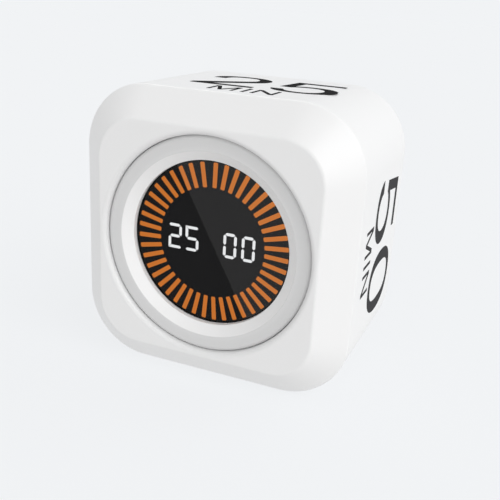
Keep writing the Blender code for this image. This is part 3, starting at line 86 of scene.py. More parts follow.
SUPPORT_SHARE = 0.12
SUPPORT_LIMIT = 0.04
SAME_POINT = 0.001
BEVEL_ANGLE = 50
BEVEL_SEGMENTS = 2
SHARP_ANGLE = 32


# Shapes

def world(x, depth, z):
    """Place in the scene, in metres."""
    return (x * MM, (depth - HALF_DEPTH) * MM, (z + AXIS_HEIGHT) * MM)


def quarter_turned(x, z, quarter):
    """Point turned by quarters of a circle about the dial's axis."""
    for _ in range(quarter):
        x, z = -z, x
    return x, z


def fillet(before, corner, after, radius, steps=FILLET_STEPS):
    """Arc of this radius where a line turns at the corner, with a point beyond each end on the straights."""
    before, corner, after = Vector(before), Vector(corner), Vector(after)
    a, b = (before - corner).normalized(), (after - corner).normalized()
    half = a.angle(b) / 2
    reach = radius / math.tan(half)
    centre = corner + (a + b).normalized() * radius / math.sin(half)
    start, end = corner + a * reach - centre, corner + b * reach - centre
    first = math.atan2(start.y, start.x)
    turn = math.remainder(math.atan2(end.y, end.x) - first, 2 * math.pi)
    leans = [first + turn * step / steps for step in range(steps + 1)]
    arc = [centre + radius * Vector((math.cos(lean), math.sin(lean))) for lean in leans]
    support = min(SUPPORT_SHARE * radius, SUPPORT_LIMIT)
    points = [arc[0] + a * support, *arc, arc[-1] + b * support]
    return [tuple(point) for point in points]


def rounded(points):
    """Closed line through (x, y, radius) points, with each radius put in."""
    out = []
    for index, (x, y, radius) in enumerate(points):
        if radius:
            before, after = points[index - 1], points[(index + 1) % len(points)]
            out += fillet(before[:2], (x, y), after[:2], radius, SMALL_FILLET_STEPS)
        else:
            out.append((x, y))
    return out


def corner_radius(half):
    """Corner radius of the body's outline where it is this wide."""
    share = (half - FACE_HALF) / (HALF_WIDTH - FACE_HALF)
    return FACE_CORNER + share * (SIDE_CORNER - FACE_CORNER)


def body_ring(half, depth, inset=0.0):
    """Rounded square on the body's outside or this far inside it, less the thickness that print takes."""
    radius = corner_radius(half + inset) - inset
    half -= PRINT_THICKNESS
    middle = half - radius
    side = []
    for step in range(SIDE_STEPS):
        lean = SPLIT * (2 * step / SIDE_STEPS - 1)
        side.append((half, middle * math.tan(lean) / math.tan(SPLIT)))
    for step in range(CORNER_STEPS):
        turn = math.pi / 2 * step / CORNER_STEPS
        side.append((middle + radius * math.cos(turn), middle + radius * math.sin(turn)))
    turned = [quarter_turned(x, z, quarter) for quarter in range(4) for x, z in side]
    return [world(x, depth, z) for x, z in turned]


def round_ring(radius, depth):
    """Circle with as many points as a body ring."""
    leans = [SPLIT * (2 * step / SIDE_STEPS - 1) for step in range(SIDE_STEPS)]
    span = math.pi / 2 - 2 * SPLIT
    leans += [SPLIT + span * step / CORNER_STEPS for step in range(CORNER_STEPS)]
    turns = [lean + quarter * math.pi / 2 for quarter in range(4) for lean in leans]
    return [world(radius * math.cos(turn), depth, radius * math.sin(turn)) for turn in turns]


def loft(bm, rings, closed=False):
    """Skin through rings of equal count, closed to a loop or else capped at both ends."""
    rows = [[bm.verts.new(point) for point in ring] for ring in rings]
    count = len(rows[0])
    pairs = list(zip(rows, rows[1:]))
    if closed:
        pairs.append((rows[-1], rows[0]))
    for near, far in pairs:
        for i in range(count):
            j = (i + 1) % count
            bm.faces.new((near[i], near[j], far[j], far[i]))
    if not closed:
        bm.faces.new(rows[0])
        bm.faces.new(rows[-1])


def prism(bm, outline, front, back, edge=0.0, centre=(0.0, 0.0)):
    """Outline pushed along the depth. With an edge size its back rim is rounded off."""
    layers = [(front, 0.0), (back - edge, 0.0)]
    if edge:
        turns = [math.pi / 2 * step / RIM_STEPS for step in range(1, RIM_STEPS + 1)]
        layers += [(back - edge + edge * math.sin(turn), edge * (1 - math.cos(turn))) for turn in turns]
    middle = [sum(point[k] for point in outline) / len(outline) for k in range(2)]
    reach = [max(abs(point[k] - middle[k]) for point in outline) for k in range(2)]
    rings = []
    for depth, inset in layers:
        scale = [1 - inset / reach[k] for k in range(2)]
        rings.append([world(centre[0] + middle[0] + (x - middle[0]) * scale[0], depth,
                            centre[1] + middle[1] + (z - middle[1]) * scale[1]) for x, z in outline])
    loft(bm, rings)


def revolve(bm, profile, steps=TURN_STEPS, centre=(0.0, 0.0)):
    """Body turned about the depth axis from a closed (radius, depth) profile."""
    rows = []
    for radius, depth in profile:
        turns = [2 * math.pi * step / steps for step in range(steps if radius else 1)]
        ring = [(centre[0] + radius * math.cos(t), depth, centre[1] + radius * math.sin(t)) for t in turns]
        rows.append([bm.verts.new(world(*place)) for place in ring])
    for near, far in zip(rows, rows[1:] + rows[:1]):
        for i in range(steps):
            j = (i + 1) % steps
            corners = (near[i % len(near)], near[j % len(near)], far[j % len(far)], far[i % len(far)])
            corners = list(dict.fromkeys(corners))
            if len(corners) > 2:
                bm.faces.new(corners)


def tube(bm, inner, outer, front, back):
    """Flat ring pushed along the depth."""
    revolve(bm, [(inner, front), (outer, front), (outer, back), (inner, back)], GUIDE_STEPS)


def circle(radius, steps):
    turns = [2 * math.pi * step / steps for step in range(steps)]
    return [(radius * math.cos(turn), radius * math.sin(turn)) for turn in turns]


def rectangle(half_x, half_z, radius, centre=(0.0, 0.0), steps=6):
    """Rectangle with round corners, each of this many steps."""
    points = []
    for side_x, side_z, first in ((1, 1, 0), (-1, 1, 90), (-1, -1, 180), (1, -1, 270)):
        for step in range(steps + 1):
            turn = math.radians(first + 90 * step / steps)
            points.append((centre[0] + side_x * (half_x - radius) + radius * math.cos(turn),
                           centre[1] + side_z * (half_z - radius) + radius * math.sin(turn)))
    return points


def make(name, bm):
    """Object from a bmesh, with its faces turned outwards."""
    bmesh.ops.recalc_face_normals(bm, faces=bm.faces[:])
    mesh = bpy.data.meshes.new(name)
    bm.to_mesh(mesh)
    bm.free()
    obj = bpy.data.objects.new(name, mesh)
    bpy.context.scene.collection.objects.link(obj)
    return obj


def apply_modifiers(obj):
    bpy.context.view_layer.update()
    graph = bpy.context.evaluated_depsgraph_get()
    mesh = bpy.data.meshes.new_from_object(obj.evaluated_get(graph))
    obj.modifiers.clear()
    obj.data = mesh


def weld(obj):
    """Join the twin points that a cut can leave."""
    bm = bmesh.new()
    bm.from_mesh(obj.data)
    bmesh.ops.remove_doubles(bm, verts=bm.verts[:], dist=SAME_POINT * MM)
    bm.to_mesh(obj.data)
    bm.free()


def combine(obj, bm, operation):
    """Add the other body to the object or cut it away."""
    other = make("cutter", bm)
    modifier = obj.modifiers.new("combine", "BOOLEAN")
    modifier.operation = operation
    modifier.solver = "EXACT"
    modifier.object = other
    apply_modifiers(obj)
    bpy.data.objects.remove(other)
    weld(obj)


def soften(obj, width):
    """Small round on every sharp edge."""
    modifier = obj.modifiers.new("edges", "BEVEL")
    modifier.width = width * MM
    modifier.segments = BEVEL_SEGMENTS
    modifier.limit_method = "ANGLE"
    modifier.angle_limit = math.radians(BEVEL_ANGLE)
    modifier.miter_outer = "MITER_ARC"
    apply_modifiers(obj)


def dress(obj, finish, body, nodes=()):
    """Finish and smooth shading, the body the piece moves with, and the CAD nodes it stands in for."""
    obj.data.materials.clear()
    obj.data.materials.append(finish)
    obj.data.shade_smooth()
    obj.data.set_sharp_from_angle(angle=math.radians(SHARP_ANGLE))
    modifier = obj.modifiers.new("flat_faces_stay_flat", "WEIGHTED_NORMAL")
    modifier.keep_sharp = True
    apply_modifiers(obj)
    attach(obj, body)
    if nodes:
        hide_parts(*nodes)


# Finishes

CLOUD_SCALE, CLOUD_DETAIL = 60.0, 3.0
GRAIN_DETAIL = 4.0
GRAIN_LOW, GRAIN_HIGH = 0.3, 0.7


def moulded(name, colour, rough, grain, bump, tone, rough_spread=0.05, relief=0.02, metallic=0.0, gloss=0.5,
            glow=None, streak=None, ior=None):
    """Surface with a faint cloudy tone, uneven gloss and fine grain. With an ior it is glass."""
    made = bpy.data.materials.new(name)
    made.use_nodes = True
    nodes, links = made.node_tree.nodes, made.node_tree.links
    shader = nodes["Principled BSDF"]
    where = nodes.new("ShaderNodeTexCoord").outputs["Object"]
    if streak:
        mapping = nodes.new("ShaderNodeMapping")
        mapping.inputs["Scale"].default_value = streak
        links.new(where, mapping.inputs["Vector"])
        where = mapping.outputs["Vector"]

    def noise(scale, detail):
        node = nodes.new("ShaderNodeTexNoise")
        node.inputs["Scale"].default_value = scale
        node.inputs["Detail"].default_value = detail
        links.new(where, node.inputs["Vector"])
        return node.outputs["Fac"]

    cloud, fine = noise(CLOUD_SCALE, CLOUD_DETAIL), noise(grain, GRAIN_DETAIL)
    mix = nodes.new("ShaderNodeMix")
    mix.data_type = "RGBA"
    links.new(cloud, mix.inputs["Factor"])
    mix.inputs["A"].default_value = [value * (1 - tone) for value in colour] + [1.0]
    mix.inputs["B"].default_value = [min(1.0, value * (1 + tone)) for value in colour] + [1.0]
    links.new(mix.outputs["Result"], shader.inputs["Base Color"])
    spread = nodes.new("ShaderNodeMapRange")
    links.new(fine, spread.inputs["Value"])
    spread.inputs["From Min"].default_value = GRAIN_LOW
    spread.inputs["From Max"].default_value = GRAIN_HIGH
    spread.inputs["To Min"].default_value = max(0.0, rough - rough_spread)
    spread.inputs["To Max"].default_value = rough + rough_spread
    links.new(spread.outputs["Result"], shader.inputs["Roughness"])
    height = nodes.new("ShaderNodeBump")
    height.inputs["Strength"].default_value = bump
    height.inputs["Distance"].default_value = relief * MM
    links.new(fine, height.inputs["Height"])
    links.new(height.outputs["Normal"], shader.inputs["Normal"])
    shader.inputs["Metallic"].default_value = metallic
    shader.inputs["Specular IOR Level"].default_value = gloss
    if glow:
        links.new(mix.outputs["Result"], shader.inputs["Emission Color"])
        shader.inputs["Emission Strength"].default_value = glow
    if ior:
        shader.inputs["Transmission Weight"].default_value = 1.0
        shader.inputs["IOR"].default_value = ior
    return made


def paint_shade_by_radius(made, stops):
    """Multiply the base colour by painted shade that follows the distance from the dial's axis."""
    nodes, links = made.node_tree.nodes, made.node_tree.links
    shader = nodes["Principled BSDF"]
    where = nodes.new("ShaderNodeTexCoord").outputs["Object"]
    from_axis = nodes.new("ShaderNodeMapping")
    from_axis.inputs["Location"].default_value = (0.0, 0.0, -AXIS_HEIGHT * MM)
    links.new(where, from_axis.inputs["Vector"])
    without_depth = nodes.new("ShaderNodeVectorMath")
    without_depth.operation = "MULTIPLY"
    without_depth.inputs[1].default_value = (1.0, 0.0, 1.0)
    links.new(from_axis.outputs["Vector"], without_depth.inputs[0])
    distance = nodes.new("ShaderNodeVectorMath")
    distance.operation = "LENGTH"
    links.new(without_depth.outputs["Vector"], distance.inputs[0])
    low, high = stops[0][0], stops[-1][0]
    spread = nodes.new("ShaderNodeMapRange")
    spread.inputs["From Min"].default_value = low * MM
    spread.inputs["From Max"].default_value = high * MM
    links.new(distance.outputs["Value"], spread.inputs["Value"])
    ramp = nodes.new("ShaderNodeValToRGB")
    elements = ramp.color_ramp.elements
    for radius, _ in stops[1:-1]:
        elements.new((radius - low) / (high - low))
    for element, (_, tone) in zip(elements, stops):
        element.color = (tone, tone, tone, 1.0)
    links.new(spread.outputs["Result"], ramp.inputs["Fac"])
    mix = nodes.new("ShaderNodeMix")
    mix.data_type = "RGBA"
    mix.blend_type = "MULTIPLY"
    mix.inputs["Factor"].default_value = 1.0
    links.new(shader.inputs["Base Color"].links[0].from_socket, mix.inputs["A"])
    links.new(ramp.outputs["Color"], mix.inputs["B"])
    links.new(mix.outputs["Result"], shader.inputs["Base Color"])


SMOOTH = dict(bump=0.01, rough_spread=0.01)
WHITE_GLOSS = dict(colour=(0.898, 0.898, 0.898), rough=0.30, grain=1500.0, tone=0.006, relief=0.004, **SMOOTH)
WHITE_SATIN = dict(rough=0.42, grain=1900.0, tone=0.008, relief=0.004, **SMOOTH)
LIT = dict(rough=0.35, grain=900.0, bump=0.05, gloss=0.2)
INK_FILM = dict(rough=0.5, grain=2400.0, bump=0.05, tone=0.12, relief=0.006, gloss=0.0)

LOOKS = {
    "white_gloss": WHITE_GLOSS,
    "white_satin": dict(colour=(0.86, 0.86, 0.86), **WHITE_SATIN),
    "black_plastic": dict(colour=(0.006, 0.006, 0.0065), rough=0.5, grain=1600.0, tone=0.04, relief=0.002,
                          gloss=0.12, **SMOOTH),
    "orange_light": dict(colour=(0.834, 0.238, 0.028), tone=0.05, glow=10.0, **LIT),
    "white_light": dict(colour=(0.92, 0.93, 0.93), tone=0.03, glow=13.3, **LIT),
    "black_board": dict(colour=(0.012, 0.02, 0.018), rough=0.35, grain=700.0, bump=0.2, tone=0.15),
    "green_board": dict(colour=(0.02, 0.15, 0.06), rough=0.33, grain=700.0, bump=0.2, tone=0.12),
    "natural_nylon": dict(colour=(0.72, 0.70, 0.62), rough=0.48, grain=1300.0, bump=0.2, tone=0.03),
    "grey_plastic": dict(colour=(0.27, 0.28, 0.29), rough=0.55, grain=1500.0, bump=0.3, tone=0.05),
    "steel": dict(colour=(0.60, 0.60, 0.59), rough=0.28, grain=500.0, bump=0.2, tone=0.05, metallic=1.0,
                  streak=(1.0, 1.0, 0.2)),
    "silver_pouch": dict(colour=(0.66, 0.67, 0.69), rough=0.36, grain=260.0, bump=0.5, tone=0.04,
                         metallic=0.9, relief=0.06),
    "grey_foam": dict(colour=(0.09, 0.09, 0.095), rough=0.9, grain=2600.0, bump=0.9, tone=0.25, relief=0.1),
    "chip_black": dict(colour=(0.018, 0.018, 0.019), rough=0.55, grain=2200.0, bump=0.3, tone=0.12),
    "ribbon_amber": dict(colour=(0.58, 0.25, 0.04), rough=0.25, grain=800.0, bump=0.1, tone=0.08),
    "wire_red": dict(colour=(0.52, 0.02, 0.018), rough=0.38, grain=1100.0, bump=0.12, tone=0.06),
    "smoked_glass": dict(colour=(0.065, 0.065, 0.066), rough=0.002, grain=300.0, bump=0.0, tone=0.01,
                         rough_spread=0.001, ior=1.25),
    # Painted shade: the top's ink is a darker copy of the sides' ink, for how the light falls on the top.
    "top_ink_painted_shade": dict(colour=(0.034, 0.034, 0.03502), **INK_FILM),
    "ink": dict(colour=(0.068, 0.068, 0.07004), **INK_FILM),
    "gold_contacts": dict(colour=(0.83, 0.58, 0.24), rough=0.25, grain=1200.0, bump=0.05, tone=0.03,
                          metallic=1.0, relief=0.004),
    "unlit_segment": dict(colour=(0.007, 0.007, 0.0075), rough=0.48, grain=1300.0, tone=0.05, gloss=0.12,
                          **SMOOTH),
}
FINISH = {name: moulded(name, **look) for name, look in LOOKS.items()}


def finish_cad_nodes():
    """CAD nodes that stay take the finish of their slot."""
    for node in frame["nodes"].values():
        for material_slot in node.material_slots:
            named = material_slot.material.name.split(".")[0] if material_slot.material else ""
            material_slot.material = FINISH.get(named, FINISH["grey_plastic"])


# Housing

HOLE_RADIUS = DIAL_RADIUS + DIAL_GAP
HOLE_LIP = 0.95
COLLAR_RADIUS = 23.7
COLLAR_BACK = 8.0
# Painted shade: the lip of the dial's hole gets darker towards the gap round the dial.
LIP_PAINTED_SHADE = ((22.3, 0.86), (22.6, 0.93), (23.0, 0.94), (23.4, 0.98), (23.6, 1.0))  # radius and painted shade

TONGUE_LENGTH = 1.8
TONGUE_WALL = 1.4
REAR_EDGE = 0.12
REAR_RIM = 0.3
CUT_FRONT = BODY_DEPTH - 3.0
CUT_BACK = BODY_DEPTH + 1.0

POST_PLACE = 19.0
POST_RADIUS = 2.8
POST_FRONT = 36.0
POST_SINK = 0.5
PILOT_RADIUS = 1.3
PILOT_FRONT = 35.5
HEAD_FRONT = 42.9
HEAD_HOLE_RADIUS = 2.1
POSTS = [(x, z) for x in (-POST_PLACE, POST_PLACE) for z in (-POST_PLACE, POST_PLACE)]

BUTTON_PLACE = (-10.971, 0.0)
BUTTON_HOLE_RADIUS = 3.9
SLIDER_X = 10.971
SLIDER_RECESS = (5.0, 2.3, 1.1)
SLIDER_RECESS_FRONT = 44.0
SLIDER_SLOT = (4.0, 1.4, 0.2)
USB_PLACE = (0.0, -14.0)
USB_HOLE = (4.75, 1.9, 1.75)
BUZZER_Z = 12.4974
GRILLE_RADIUS = 2.6
GRILLE_HOLE = 0.6
GRILLE = [(0.0, BUZZER_Z)] + [(x, BUZZER_Z + z) for x, z in circle(GRILLE_RADIUS, 6)]


def chamfer_half(depth):
    """Half width of the front chamfer at this depth."""
    return FACE_HALF + depth / math.tan(CHAMFER_ANGLE)


def inner_depth(half):
    """Depth of the chamfer's inside where it is this wide."""
    return WALL + (half - INNER_RIDGE) * math.tan(CHAMFER_ANGLE)


def mirrored(line):
    """The front's line at the rear."""
    return [(half, BODY_DEPTH - depth) for half, depth in reversed(line)]


FACE_RIDGE = fillet((0.0, 0.0), (FACE_HALF, 0.0), (HALF_WIDTH, CHAMFER_DEPTH), RIDGE_RADIUS)
SIDE_RIDGE = fillet((FACE_HALF, 0.0), (HALF_WIDTH, CHAMFER_DEPTH), (HALF_WIDTH, HALF_DEPTH), RIDGE_RADIUS)


def front_shell():
    """Front and side walls, with a rounded lip and a collar round the dial's hole."""
    lip = fillet((HOLE_RADIUS, HALF_DEPTH), (HOLE_RADIUS, 0.0), (FACE_HALF, 0.0), HOLE_LIP)
    inner = HALF_WIDTH - WALL
    rim = (chamfer_half(BODY_DEPTH - SEAM), SEAM)
    outside = FACE_RIDGE + SIDE_RIDGE + mirrored(SIDE_RIDGE)
    outside += fillet(outside[-1], rim, (inner, SEAM), SEAM_EDGE, SEAM_STEPS)
    inside = [(inner, SEAM), (inner, inner_depth(inner)), (INNER_RIDGE, WALL)]
    rings = [round_ring(HOLE_RADIUS, COLLAR_BACK)]
    rings += [round_ring(radius, depth) for radius, depth in lip]
    rings += [body_ring(half, depth) for half, depth in outside]
    rings += [body_ring(half, depth, WALL) for half, depth in inside]
    rings += [round_ring(COLLAR_RADIUS, WALL), round_ring(COLLAR_RADIUS, COLLAR_BACK)]
    bm = bmesh.new()
    loft(bm, rings, closed=True)
    # The front's finish carries painted shade on the lip, darker towards the gap.
    gloss = moulded("front_gloss_painted_shade", **WHITE_GLOSS)
    paint_shade_by_radius(gloss, LIP_PAINTED_SHADE)
    dress(make("housing_front", bm), gloss, "housing", ["front_shell"])


def rear_cover():
    """Cover with a tongue that goes into the front, a post for each screw, and the openings."""
    start = SEAM + GAP
    inner = HALF_WIDTH - WALL - GAP
    hollow = inner - TONGUE_WALL
    tongue_front = SEAM - TONGUE_LENGTH
    inside = [(INNER_RIDGE, BODY_DEPTH - WALL), (hollow, BODY_DEPTH - inner_depth(hollow)),
              (hollow, tongue_front), (inner, tongue_front), (inner, start)]
    rim = (chamfer_half(BODY_DEPTH - start), start)
    outside = fillet((inner, start), rim, (FACE_HALF, BODY_DEPTH), SEAM_EDGE, SEAM_STEPS)
    outside += mirrored(FACE_RIDGE)
    outside.append((outside[-1][0] - REAR_RIM, BODY_DEPTH))
    bm = bmesh.new()
    loft(bm, [body_ring(half, depth, WALL) for half, depth in inside]
         + [body_ring(half, depth) for half, depth in outside])
    cover = make("housing_rear", bm)

    bosses = bmesh.new()
    for place in POSTS:
        prism(bosses, circle(POST_RADIUS, 48), POST_FRONT, BODY_DEPTH - WALL + POST_SINK, centre=place)
    combine(cover, bosses, "UNION")

    cuts = bmesh.new()
    step = HEAD_FRONT - GAP
    screw_hole = [(0.0, PILOT_FRONT), (PILOT_RADIUS, PILOT_FRONT), (PILOT_RADIUS, step),
                  (HEAD_HOLE_RADIUS, step), (HEAD_HOLE_RADIUS, CUT_BACK), (0.0, CUT_BACK)]
    for place in POSTS:
        revolve(cuts, screw_hole, 56, place)
    prism(cuts, circle(BUTTON_HOLE_RADIUS, 72), CUT_FRONT, CUT_BACK, centre=BUTTON_PLACE)
    prism(cuts, rectangle(*SLIDER_RECESS), SLIDER_RECESS_FRONT, CUT_BACK, centre=(SLIDER_X, 0.0))
    prism(cuts, rectangle(*USB_HOLE, steps=12), CUT_FRONT, CUT_BACK, centre=USB_PLACE)
    for place in GRILLE:
        prism(cuts, circle(GRILLE_HOLE, 24), CUT_FRONT, CUT_BACK, centre=place)
    combine(cover, cuts, "DIFFERENCE")

    slot_cut = bmesh.new()
    prism(slot_cut, rectangle(*SLIDER_SLOT), CUT_FRONT, CUT_BACK, centre=(SLIDER_X, 0.0))
    combine(cover, slot_cut, "DIFFERENCE")
    soften(cover, REAR_EDGE)
    dress(cover, FINISH["white_gloss"], "housing", ["rear_cover"])


# Dial and display. A point of a profile is its radius, its depth and the radius of its corner.

DIAL_FRONT = 1.0
DIAL_EDGE = 0.80
BAND_INNER = 19.25
BAND_FALL = 0.1
SKIRT_INNER = 19.2
SKIRT_BACK = 8.0
DISH_INNER = LENS_RADIUS + 0.1
DISH_DEPTH = 2.78
CAP_BACK = 4.0
DIAL_SHADE = 0.925
# Painted shade: the band is darker than the cone, and darker still towards the gap.
BAND_PAINTED_SHADE = ((19.16, 1.0), (19.24, 0.80), (20.2, 0.775), (21.4, 0.765), (22.3, 0.74))  # radius and painted shade

LENS_FRONT = 3.72
LENS_BACK = 4.0

LIGHT_FRONT = LENS_BACK + 0.05
LIGHT_BACK = 6.9
GUIDE_FRONT = 6.7
GUIDE_BACK = 7.7
RING_GUIDE = (11.4, 16.8)
DIGIT_GUIDE = (10.05, 3.29, 1.2)
GUIDE_CENTRE = (0.0, 0.302)

BLOCK_FRONT = LENS_BACK + 0.06
BLOCK_BACK = 8.6
BLOCK_RADIUS = 18.6
BLOCK_NECK = LENS_RADIUS + 0.05
BLOCK_STEP = 4.3
RECESS_FRONT = GUIDE_FRONT - 0.1
RECESS_BACK = BLOCK_BACK + 0.4
RING_RECESS_GAP = 0.1
DIGIT_RECESS_GAP = 0.05
CELL_FRONT = BLOCK_FRONT - 1.0
CELL_BACK = 7.0
CELL_GAP = 0.015

# Directions are in degrees from the top, clockwise.
BAR_COUNT = 43
BAR_FIRST = 1.11
BAR_PITCH = 8.307
BAR_LAST = 350.9
BAR_RING_CENTRE = (0.055, -0.015)
BAR_MIDDLE = 14.09
BAR_HALF_WIDTH = 0.46
BAR_HALF_LENGTH = 2.535
BAR_CORNER = 0.22
BAR_FLARE = 0.012

SEGMENTS = {  # ends of each segment in half widths and half heights of a digit
    "a": ((-1, 1), (1, 1)),
    "b": ((1, 1), (1, 0)),
    "c": ((1, 0), (1, -1)),
    "d": ((-1, -1), (1, -1)),
    "e": ((-1, 0), (-1, -1)),
    "f": ((-1, 1), (-1, 0)),
    "g": ((-1, 0), (1, 0)),
}
SHOWN = (  # lit segments, middle, half width, and the corner whose mitre is full
    ("abged", -8.17, 1.22, (-1, -1)),
    ("afgcd", -4.315, 1.20, (-1, 1)),
    ("abcdef", 4.15, 1.155, None),
    ("abcdef", 8.14, 1.155, None),
)
DIGIT_MIDDLE = 0.165
DIGIT_HALF = 2.345
SEGMENT_HALF = 0.29
TIPS = {"pointed": 0.10, "open": -0.15, "short": 0.22, "mitred": 0.05}  # from the end to the segment's tip


def dial_ring():
    """Flat band, dished cone and skirt in one turned body."""
    profile = [(BAND_INNER, DIAL_FRONT + BAND_FALL, 0.08), (DIAL_RADIUS, DIAL_FRONT, DIAL_EDGE),
               (DIAL_RADIUS, SKIRT_BACK, 0.15), (SKIRT_INNER, SKIRT_BACK, 0.1), (SKIRT_INNER, CAP_BACK, 0.0),
               (DISH_INNER, CAP_BACK, 0.0), (DISH_INNER, DISH_DEPTH, 0.1)]
    bm = bmesh.new()
    revolve(bm, rounded(profile))
    satin = moulded("dial_satin_painted_shade", colour=(DIAL_SHADE, DIAL_SHADE, DIAL_SHADE), **WHITE_SATIN)
    # The dial's finish carries painted shade on its band.
    paint_shade_by_radius(satin, BAND_PAINTED_SHADE)
    dress(make("dial", bm), satin, "dial", ["dial_ring"])


def lens():
    """Glass disc with a black edge."""
    profile = [(0.0, LENS_FRONT, 0.0), (LENS_RADIUS, LENS_FRONT, 0.08), (LENS_RADIUS, LENS_BACK, 0.05),
               (0.0, LENS_BACK, 0.0)]
    bm = bmesh.new()
    revolve(bm, rounded(profile))
    glass = make("display_glass", bm)
    dress(glass, FINISH["smoked_glass"], "housing", ["display_lens"])
    glass.data.materials.append(FINISH["black_plastic"])
    for face in glass.data.polygons:
        on_edge = abs(face.normal.y) < 0.5
        face.material_index = int(on_edge)


def bar_outlines(grow=0.0):
    """Outline of every bar. Each widens a little outwards."""
    straight = rectangle(BAR_HALF_WIDTH + grow, BAR_HALF_LENGTH + grow, BAR_CORNER + grow, (0.0, BAR_MIDDLE))
    flared = [(x * (1 + BAR_FLARE * (z - BAR_MIDDLE)), z) for x, z in straight]
    centre_x, centre_z = BAR_RING_CENTRE
    outlines = []
    for degrees in [BAR_FIRST + BAR_PITCH * bar for bar in range(BAR_COUNT - 1)] + [BAR_LAST]:
        cos, sin = math.cos(math.radians(degrees)), math.sin(math.radians(degrees))
        outlines.append([(centre_x + x * cos + z * sin, centre_z + z * cos - x * sin) for x, z in flared])
    return outlines


def light_bars():
    """Every bar with rounded corners, on the ring that carries them."""
    bm = bmesh.new()
    tube(bm, *RING_GUIDE, GUIDE_FRONT, GUIDE_BACK)
    for outline in bar_outlines():
        prism(bm, outline, LIGHT_FRONT, LIGHT_BACK)
    dress(make("light_bars", bm), FINISH["orange_light"], "housing", ["bar_light_guide"])


def segment(ends, kinds, middle, grow=0.0):
    """Outline of a segment. Its ends are pointed, but a mitred end fills its half of the digit's corner."""
    half = SEGMENT_HALF + grow
    shape = []
    for near, far, kind in ((ends[0], ends[1], kinds[0]), (ends[1], ends[0], kinds[1])):
        along = (far - near).normalized()
        across = Vector((-along.y, along.x))
        tip = TIPS[kind] - grow
        if kind == "mitred":
            outside = math.copysign(1.0, across.dot(near - middle))
            corner = [(tip + outside * half, -half), (tip - outside * half, half)]
        else:
            corner = [(tip + half, -half), (tip, 0.0), (tip + half, half)]
        shape += [tuple(near + u * along + v * across) for u, v in corner]
    return shape


def end_kind(name, corner, lit, mitred):
    """Kind of a segment's end: open where no lit segment goes on from it."""
    if name not in lit:
        return "short"
    if corner == mitred:
        return "mitred"
    meets = any(other != name and corner in SEGMENTS[other] for other in lit)
    return "pointed" if meets else "open"


def segments(grow=0.0):
    """Every segment's outline, and whether it is lit."""
    found = []
    for lit, middle_x, half_x, mitred in SHOWN:
        middle = Vector((middle_x, DIGIT_MIDDLE))
        for name, corners in SEGMENTS.items():
            kinds = [end_kind(name, corner, lit, mitred) for corner in corners]
            ends = [middle + Vector((u * half_x, v * DIGIT_HALF)) for u, v in corners]
            found.append((segment(ends, kinds, middle, grow), name in lit))
    return found


def digits():
    """Lit segments on the plate that carries them, and the unlit ones."""
    lit, unlit = bmesh.new(), bmesh.new()
    prism(lit, rectangle(*DIGIT_GUIDE, GUIDE_CENTRE), GUIDE_FRONT, GUIDE_BACK)
    for outline, shown in segments():
        prism(lit if shown else unlit, outline, LIGHT_FRONT, LIGHT_BACK)
    dress(make("digits_lit", lit), FINISH["white_light"], "housing", ["digit_light_guide"])
    dress(make("digits_unlit", unlit), FINISH["unlit_segment"], "housing")


def light_block():
    """Black block with a cell for every bar and segment, and the recesses that hold both light guides."""
    profile = [(0.0, BLOCK_FRONT, 0.0), (BLOCK_NECK, BLOCK_FRONT, 0.1), (BLOCK_NECK, BLOCK_STEP, 0.0),
               (BLOCK_RADIUS, BLOCK_STEP, 0.15), (BLOCK_RADIUS, BLOCK_BACK, 0.15), (0.0, BLOCK_BACK, 0.0)]
    bm = bmesh.new()
    revolve(bm, rounded(profile))
    block = make("display_cells", bm)
    recesses = bmesh.new()
    inner, outer = RING_GUIDE
    tube(recesses, inner - RING_RECESS_GAP, outer + RING_RECESS_GAP, RECESS_FRONT, RECESS_BACK)
    digit_recess = [size + DIGIT_RECESS_GAP for size in DIGIT_GUIDE]
    prism(recesses, rectangle(*digit_recess, GUIDE_CENTRE), RECESS_FRONT, RECESS_BACK)
    combine(block, recesses, "DIFFERENCE")
    cells = bmesh.new()
    for outline in bar_outlines(CELL_GAP) + [outline for outline, _ in segments(CELL_GAP)]:
        prism(cells, outline, CELL_FRONT, CELL_BACK)
    combine(block, cells, "DIFFERENCE")
    dress(block, FINISH["black_plastic"], "housing", ["display_block"])


# Printed numerals. An entry of six numbers is a curve: its two handles and its end.

